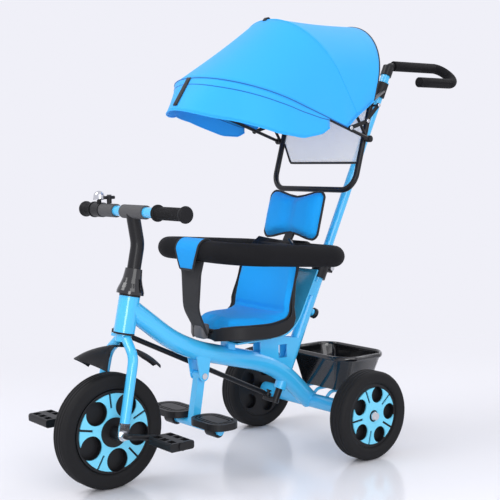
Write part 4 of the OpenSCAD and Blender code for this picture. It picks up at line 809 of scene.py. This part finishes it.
PIVOT = Vector(JOINTS["canopy_fold"]["pos_m"])
COVER_COLUMNS, PANEL_ROWS, VISOR_ROWS = 72, 18, 12
# The window: its corner, its foot below and its top above the pivots, its tuck and its side clearance
MESH_CORNER, MESH_DROP, MESH_RISE, MESH_TUCK, MESH_SIDE = 0.1316, 0.124, 0.278, 0.009, 0.001
MESH_T, MESH_HEM_R = 0.0008, 0.0028
# How far its lower edge is drawn up at one side, and the share of the half width where that begins
MESH_DRAWN, MESH_DRAWN_FROM = 0.050, 0.72
# Fine puckers of the cover along its lower edges: depth, count and slant
PUCKER, PUCKER_WAVES, PUCKER_SLANT = 0.0012, 46, 5
FOLD_REACH, SEAM_LIFT, TUNNEL_SHARE, VISOR_CREST = 0.2, 0.0004, 0.2, 0.004
STRAIGHT_DOWN = math.radians(270)
TAB_HALF, TAB_LIFT, TAB_T = 0.007, 0.0022, 0.002
LOOP_HALF, LOOP_LIFT, LOOP_SINK, LOOP_RISE, LOOP_BACK, LOOP_AHEAD = 0.006, 0.004, 0.002, 0.007, 0.012, 0.004
# How far down each bow the cover reaches, as shares of its start on the hoop
COVER_START_SHARES = {"hoop": 1.0, "mid": 0.7, "front": 0.88}
# Shares of the visor's drop along the front bow, on the side that hangs free and on the side that is drawn up
VISOR_SHARES = [(0.33, 0.2), (0.4, 0.5), (0.55, 0.85), (0.72, 1), (1.2, 1)]
VISOR_DRAWN_SHARES = [(0.26, 0.12), (0.32, 0.36), (0.45, 0.54), (0.72, 0.58), (0.9, 0.74), (1, 1)]


def arch(half, rise, corner, start, along):
    """One point of an upturned U by its share of the way from foot to foot: the side and the rise."""
    leg, bend, top = rise - corner - start, math.pi / 2 * corner, half - corner
    s = (leg + bend + top) * (1 - abs(2 * along - 1))
    hand = 1 if along < 0.5 else -1
    if s <= leg:
        return hand * half, start + s
    if s <= leg + bend:
        a = (s - leg) / corner
        return hand * (top + corner * math.cos(a)), rise - corner + corner * math.sin(a)
    return hand * (top - (s - leg - bend)), rise


def bow_point(turn, side, rise, lift=0.0):
    return PIVOT + rise * heading(turn) + Vector((side, 0, 0)) + lift * heading(turn - math.pi / 2)


def bow_row(s, bow, extra=0.0):
    """A row of points over one of the canopy's bows."""
    turn, rise, half, corner = (getattr(s, f"{bow}_{k}") for k in ("turn", "rise", "half", "corner"))
    off = s.cover_gap + extra
    start = s.cover_start * COVER_START_SHARES[bow]
    return [bow_point(turn, *arch(half + off, rise + off, corner + off, start, t)) for t in shares(COVER_COLUMNS)]


def cover_rows(s):
    """The cover's rows from the hoop over the middle bow to the front bow, sunk a little between them."""
    bows = [bow_row(s, bow) for bow in ("hoop", "mid", "front")]
    rows = []
    for k in range(2):
        for i in range(PANEL_ROWS + k):
            f = i / PANEL_ROWS
            row = []
            for j, along in enumerate(shares(COVER_COLUMNS)):
                p = bows[k][j].lerp(bows[k + 1][j], f)
                between, crown = math.sin(math.pi * f), math.sin(math.pi * along)
                sink = s.cover_sag * between * crown
                pull = PUCKER * between * math.sin(PUCKER_WAVES * along + PUCKER_SLANT * f) * (1 - crown)
                row.append(p - (sink + pull) * (p - Vector((0, PIVOT.y, PIVOT.z))).normalized())
            rows.append(row)
    return rows


def visor_point(s, along, fall_share):
    off = s.cover_gap
    start, falls = s.visor_start, VISOR_SHARES
    if along > 0.5:
        start, falls = s.visor_drawn_start, VISOR_DRAWN_SHARES
    side, rise = arch(s.front_half + off, s.front_rise + off, s.front_corner + off, start, along)
    wide = abs(side) / s.front_half
    middle = min(1.0, wide / s.visor_side) ** 2
    turn = s.visor_turn + (STRAIGHT_DOWN - s.visor_turn) * middle
    fall = s.visor_drop * table(rise / (s.front_rise - VISOR_CREST), falls) * fall_share
    flare = math.copysign(s.visor_flare * wide ** 2 * fall / s.visor_drop, side)
    return bow_point(s.front_turn, side, rise) + fall * heading(turn) + Vector((flare, 0, 0))


class TRIKE_OT_canopy(bpy.types.Operator):
    """Make the canopy's cover, visor, seams, window mesh and pull tabs"""
    bl_idname = "trike.canopy"
    bl_label = "Canopy"

    def execute(self, context):
        s = sizes()
        self.cover(s)
        self.visor(s)
        self.mesh_window(s)
        self.tabs(s)
        return {"FINISHED"}

    def across(self, s):
        """The line from the hoop to the front bow, between points at a set reach from the pivots."""
        return PIVOT + FOLD_REACH * heading(s.hoop_turn), PIVOT + FOLD_REACH * heading(s.front_turn)

    def cover(self, s):
        rows = cover_rows(s)
        cover = cloth_grid("canopy_cover", rows, s.cloth_t)
        finished(cover, None, "canopy_fabric", "canopy_cloth")
        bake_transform(cover)
        for name, column in (("left", 0), ("right", -1)):
            hem = trim(f"canopy_hem_{name}", [r[column] for r in rows], s.hem_r, None, "canopy_fabric")
            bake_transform(hem)
        rear = trim("canopy_hem_rear", bow_row(s, "hoop"), s.hem_r, "frame", "black_webbing")
        ridge = trim("canopy_seam_middle", bow_row(s, "mid", SEAM_LIFT), s.seam_r, "mid_bow", "canopy_fabric")

    def visor(self, s):
        rows = [[visor_point(s, along, t) for along in shares(COVER_COLUMNS)] for t in shares(VISOR_ROWS)]
        visor = cloth_grid("canopy_visor_cloth", rows, s.cloth_t)
        finished(visor, "front_bow", "canopy_fabric", "canopy_visor")
        seams = [trim("visor_hem", rows[-1], s.hem_r, "front_bow", "canopy_fabric")]
        tunnel = [visor_point(s, along, TUNNEL_SHARE) for along in shares(COVER_COLUMNS)]
        for name, row in (("bow", bow_row(s, "front", SEAM_LIFT)), ("tunnel", tunnel)):
            seams.append(trim(f"visor_seam_{name}", row, s.seam_r, "front_bow", "canopy_fabric", finish="seam_blue"))

    def mesh_window(self, s):
        """White window mesh behind the child, with a black hem along its lower edge."""
        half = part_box("canopy_mesh")[1].x - MESH_SIDE
        up = heading(s.hoop_turn)
        foot = PIVOT - MESH_DROP * up
        top = MESH_RISE + MESH_DROP - MESH_TUCK

        def limit(side):
            over = max(0.0, abs(side) - half + MESH_CORNER)
            return top - MESH_CORNER + math.sqrt(max(0.0, MESH_CORNER ** 2 - over ** 2))

        def hem_at(side):
            return s.mesh_foot + MESH_DRAWN * max(0.0, -side / half - MESH_DRAWN_FROM) / (1 - MESH_DRAWN_FROM)
        columns = [half * v for v in sides(20)]
        rows = [[foot + (hem_at(x) + (limit(x) - hem_at(x)) * t) * up + Vector((x, 0, 0)) for x in columns]
                for t in shares(24)]
        window = cloth_grid("canopy_window_mesh", rows, MESH_T)
        finished(window, "frame", "mesh_fabric", "canopy_mesh")
        hem = trim("canopy_window_hem", rows[0], MESH_HEM_R, "frame", "black_webbing")

    def tabs(self, s):
        """A black pull tab down the visor's middle and a loop on the middle bow."""
        out = TAB_LIFT * heading(s.visor_turn - math.pi / 2)
        line = [visor_point(s, 0.5, t) + out for t in shares(8)[:-1]]
        rows = [[p + Vector((TAB_HALF * v, 0, 0)) for v in sides(2)] for p in line]
        tab = cloth_grid("visor_pull_tab", rows, TAB_T)
        finished(tab, "front_bow", "black_webbing")
        crown = PIVOT + (s.mid_rise + LOOP_LIFT) * heading(s.mid_turn)
        ahead, up = Vector((0, -1, 0)), Vector((0, 0, 1))
        bend = [crown + LOOP_BACK * (1 - t) * -ahead - LOOP_SINK * up + ahead * LOOP_AHEAD * t
                + up * LOOP_RISE * math.sin(math.pi * t) for t in shares(8)]
        rows = [[p + Vector((LOOP_HALF * v, 0, 0)) for v in sides(2)] for p in bend]
        loop = cloth_grid("middle_bow_loop", rows, TAB_T)
        finished(loop, "mid_bow", "black_webbing")


# Grips and mudguard

GRIP_LENGTH_SHARE, MUDGUARD_WIDTH_SHARE = 0.83, 0.86


class TRIKE_OT_grips(bpy.types.Operator):
    """Make the handlebar's ribbed grips, of which the left one is shorter"""
    bl_idname = "trike.grips"
    bl_label = "Grips"

    def execute(self, context):
        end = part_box("grips")[1].x

        def shorter(p):
            return Vector((end - (end - p.x) * GRIP_LENGTH_SHARE, p.y, p.z)) if p.x > 0 else p
        grips = recut("grips", "bar_grips", shorter, 40)
        finished(grips, "steering", "grip_rubber", "grips")
        return {"FINISHED"}


class TRIKE_OT_mudguard(bpy.types.Operator):
    """Make the moulded front mudguard"""
    bl_idname = "trike.mudguard"
    bl_label = "Mudguard"

    def execute(self, context):
        guard = recut("fender", "front_mudguard", lambda p: Vector((p.x * MUDGUARD_WIDTH_SHARE, p.y, p.z)), 50)
        finished(guard, "steering", "black_plastic", "fender")
        return {"FINISHED"}


# Rivets of the canopy's stays

RIVET_R, RIVET_RISE = 0.0045, 0.0018
RIVET_INSET, RIVET_CROWN, RIVET_EDGE = 0.0012, 0.0007, 0.0006
# Where the stays' elbow lies from the canopy's pivots
ELBOW = Vector((0, -0.017, 0.041))


class TRIKE_OT_rivets(bpy.types.Operator):
    """Make the bright rivets on the canopy's stays"""
    bl_idname = "trike.rivets"
    bl_label = "Stay rivets"

    def execute(self, context):
        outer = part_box("front_bow")[1].x
        lower = Vector(JOINTS["stay_lower_turn"]["pos_m"])
        upper = Vector(JOINTS["stay_upper_turn"]["pos_m"])
        places = [("stay_foot", "front_bow", outer, lower),
                  ("stay_elbow", "stay_lower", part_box("stay_lower")[1].x, PIVOT + ELBOW),
                  ("stay_top", "frame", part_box("canopy_pivots")[1].x, upper)]
        for name, body, side, at in places:
            for hand, label in ((1, "left"), (-1, "right")):
                self.rivet(f"{name}_rivet_{label}", body, Vector((hand * side, at.y, at.z)), hand)
        return {"FINISHED"}

    def rivet(self, name, body, at, hand):
        deselect()
        bpy.ops.mesh.primitive_cylinder_add(vertices=24, radius=RIVET_R, depth=RIVET_RISE,
                                            location=at + Vector((hand * RIVET_RISE / 2, 0, 0)),
                                            rotation=(0, math.pi / 2, 0))
        cap = raised(name, lambda face: hand * face.normal.x > 0.9, RIVET_INSET, RIVET_CROWN, RIVET_EDGE, 3)
        finished(cap, body, "bright_steel")


# Rear bin

BIN_WIDTH_SHARE, BIN_DEPTH_SHARE, BIN_ROUND = 0.93, 0.88, 0.13


class TRIKE_OT_bin(bpy.types.Operator):
    """Make the moulded rear bin"""
    bl_idname = "trike.bin"
    bl_label = "Rear bin"

    def execute(self, context):
        low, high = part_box("basket")
        middle, half = (low + high) / 2, (high - low) / 2

        def drawn_in(p):
            corner = ((p.x - middle.x) / half.x * (p.y - middle.y) / half.y) ** 2
            x, y = (middle + (p - middle) * (1 - BIN_ROUND * corner)).xy
            return Vector((x * BIN_WIDTH_SHARE, low.y + (y - low.y) * BIN_DEPTH_SHARE, p.z))
        rear_bin = recut("basket", "rear_bin", drawn_in, 40)
        finished(rear_bin, "frame", "black_plastic", "basket", finish="gloss_black")
        return {"FINISHED"}


# Stage

FLOOR_HALF, NEAR_R, FAR_R = 12.0, 0.75, 1.7
LAMPS = [
    # name, place, size, power, aim
    ("key", (-0.9, -2.2, 2.9), 1.8, 46.0, (0, 0, 0.5)),
    ("fill", (2.9, -0.9, 1.9), 2.2, 36.0, (0, 0, 0.5)),
    ("low", (2.3, -2.2, 0.62), 0.9, 18.0, (0, 0, 0.4)),
    ("back", (0.2, 2.6, 2.6), 2.2, 26.0, (0, 0, 0.6)),
]


class TRIKE_OT_stage(bpy.types.Operator):
    """Set up the camera, the pale floor and the soft light"""
    bl_idname = "trike.stage"
    bl_label = "Stage"

    def execute(self, context):
        self.camera(context.scene, context.scene.trike_view)
        self.floor(colours().studio)
        self.light(context.scene)
        return {"FINISHED"}

    def camera(self, scene, view):
        a, e, r = view.azimuth, view.elevation, view.roll
        back = Vector((math.sin(a) * math.cos(e), -math.cos(a) * math.cos(e), math.sin(e)))
        right = Vector((math.cos(a), math.sin(a), 0))
        up = back.cross(right)
        side, top = right * math.cos(r) + up * math.sin(r), up * math.cos(r) - right * math.sin(r)
        data = bpy.data.cameras.new("camera")
        data.lens = view.lens
        data.sensor_width = 36.0
        data.clip_end = 60.0
        camera = new_object("camera", data)
        camera.matrix_world = Matrix.Translation(view.place) @ Matrix((side, top, back)).transposed().to_4x4()
        scene.camera = camera

    def floor(self, tint):
        deselect()
        bpy.ops.mesh.primitive_grid_add(x_subdivisions=8, y_subdivisions=8, size=2 * FLOOR_HALF)
        floor = bpy.context.object
        floor.name = "studio_floor"
        material, tree, shader, place = start_material("studio_floor")
        fill(tree, shader, {"Base Color": (*tint, 1.0), "Roughness": 0.16, "Specular IOR Level": 0.4})
        glow = add_node(tree, "ShaderNodeEmission", {"Color": (*tint, 1.0), "Strength": 1.0})
        far = add_node(tree, "ShaderNodeVectorMath", {0: place.outputs["Object"]}, operation="LENGTH")
        reach = {"Value": far.outputs["Value"], "From Min": NEAR_R, "From Max": FAR_R}
        fade = add_node(tree, "ShaderNodeMapRange", reach, interpolation_type="SMOOTHSTEP")
        mixed = add_node(tree, "ShaderNodeMixShader", {0: fade.outputs[0], 1: shader.outputs[0], 2: glow.outputs[0]})
        fill(tree, tree.nodes["Material Output"], {"Surface": mixed.outputs[0]})
        floor.data.materials.append(material)

    def light(self, scene):
        world = bpy.data.worlds.new("studio")
        scene.world = world
        world.use_nodes = True
        tree = world.node_tree
        sky = fill(tree, tree.nodes["Background"], {"Color": (1.0, 1.0, 1.0, 1.0), "Strength": 0.62})
        seen = add_node(tree, "ShaderNodeBackground", {"Color": (*colours().studio, 1.0), "Strength": 1.0})
        path = tree.nodes.new("ShaderNodeLightPath")
        direct = math_node(tree, "MAXIMUM", path.outputs["Is Camera Ray"], path.outputs["Is Transmission Ray"])
        shown = math_node(tree, "MAXIMUM", direct, path.outputs["Is Glossy Ray"])
        mixed = add_node(tree, "ShaderNodeMixShader", {0: shown, 1: sky.outputs[0], 2: seen.outputs[0]})
        fill(tree, tree.nodes["World Output"], {"Surface": mixed.outputs[0]})
        for name, place, size, power, aim in LAMPS:
            data = bpy.data.lights.new(name, "AREA")
            data.size = size
            data.energy = power
            lamp = new_object(name + "_lamp", data)
            lamp.location = place
            lamp.rotation_euler = (Vector(aim) - Vector(place)).to_track_quat("-Z", "Y").to_euler()
        scene.view_settings.view_transform = "Standard"


class TRIKE_PT_panel(bpy.types.Panel):
    """Steps of the dressing, in order"""
    bl_idname = "TRIKE_PT_panel"
    bl_label = "Push-along trike"
    bl_space_type = "VIEW_3D"
    bl_region_type = "UI"
    bl_category = "Trike"

    def draw(self, context):
        for operator in OPERATORS:
            self.layout.operator(operator.bl_idname)
        for group in (context.scene.trike_sizes, context.scene.trike_colours, context.scene.trike_view):
            box = self.layout.box()
            for key in group.bl_rna.properties.keys():
                if key not in ("rna_type", "name"):
                    box.prop(group, key)


OPERATORS = (TRIKE_OT_stage, TRIKE_OT_finishes, TRIKE_OT_seat, TRIKE_OT_headrest, TRIKE_OT_guard, TRIKE_OT_handle,
             TRIKE_OT_canopy, TRIKE_OT_grips, TRIKE_OT_mudguard, TRIKE_OT_rivets, TRIKE_OT_bin)
GROUPS_OF_SETTINGS = {"trike_sizes": TrikeSizes, "trike_colours": TrikeColours, "trike_view": TrikeView}


def register():
    for cls in (*GROUPS_OF_SETTINGS.values(), *OPERATORS, TRIKE_PT_panel):
        bpy.utils.register_class(cls)
    for name, cls in GROUPS_OF_SETTINGS.items():
        setattr(bpy.types.Scene, name, PointerProperty(type=cls))


def unregister():
    for name in GROUPS_OF_SETTINGS:
        delattr(bpy.types.Scene, name)
    for cls in (TRIKE_PT_panel, *reversed(OPERATORS), *GROUPS_OF_SETTINGS.values()):
        bpy.utils.unregister_class(cls)


def main():
    register()
    for operator in OPERATORS:
        getattr(bpy.ops.trike, operator.bl_idname.split(".")[1])()
    deselect()


if __name__ == "__main__":
    main()
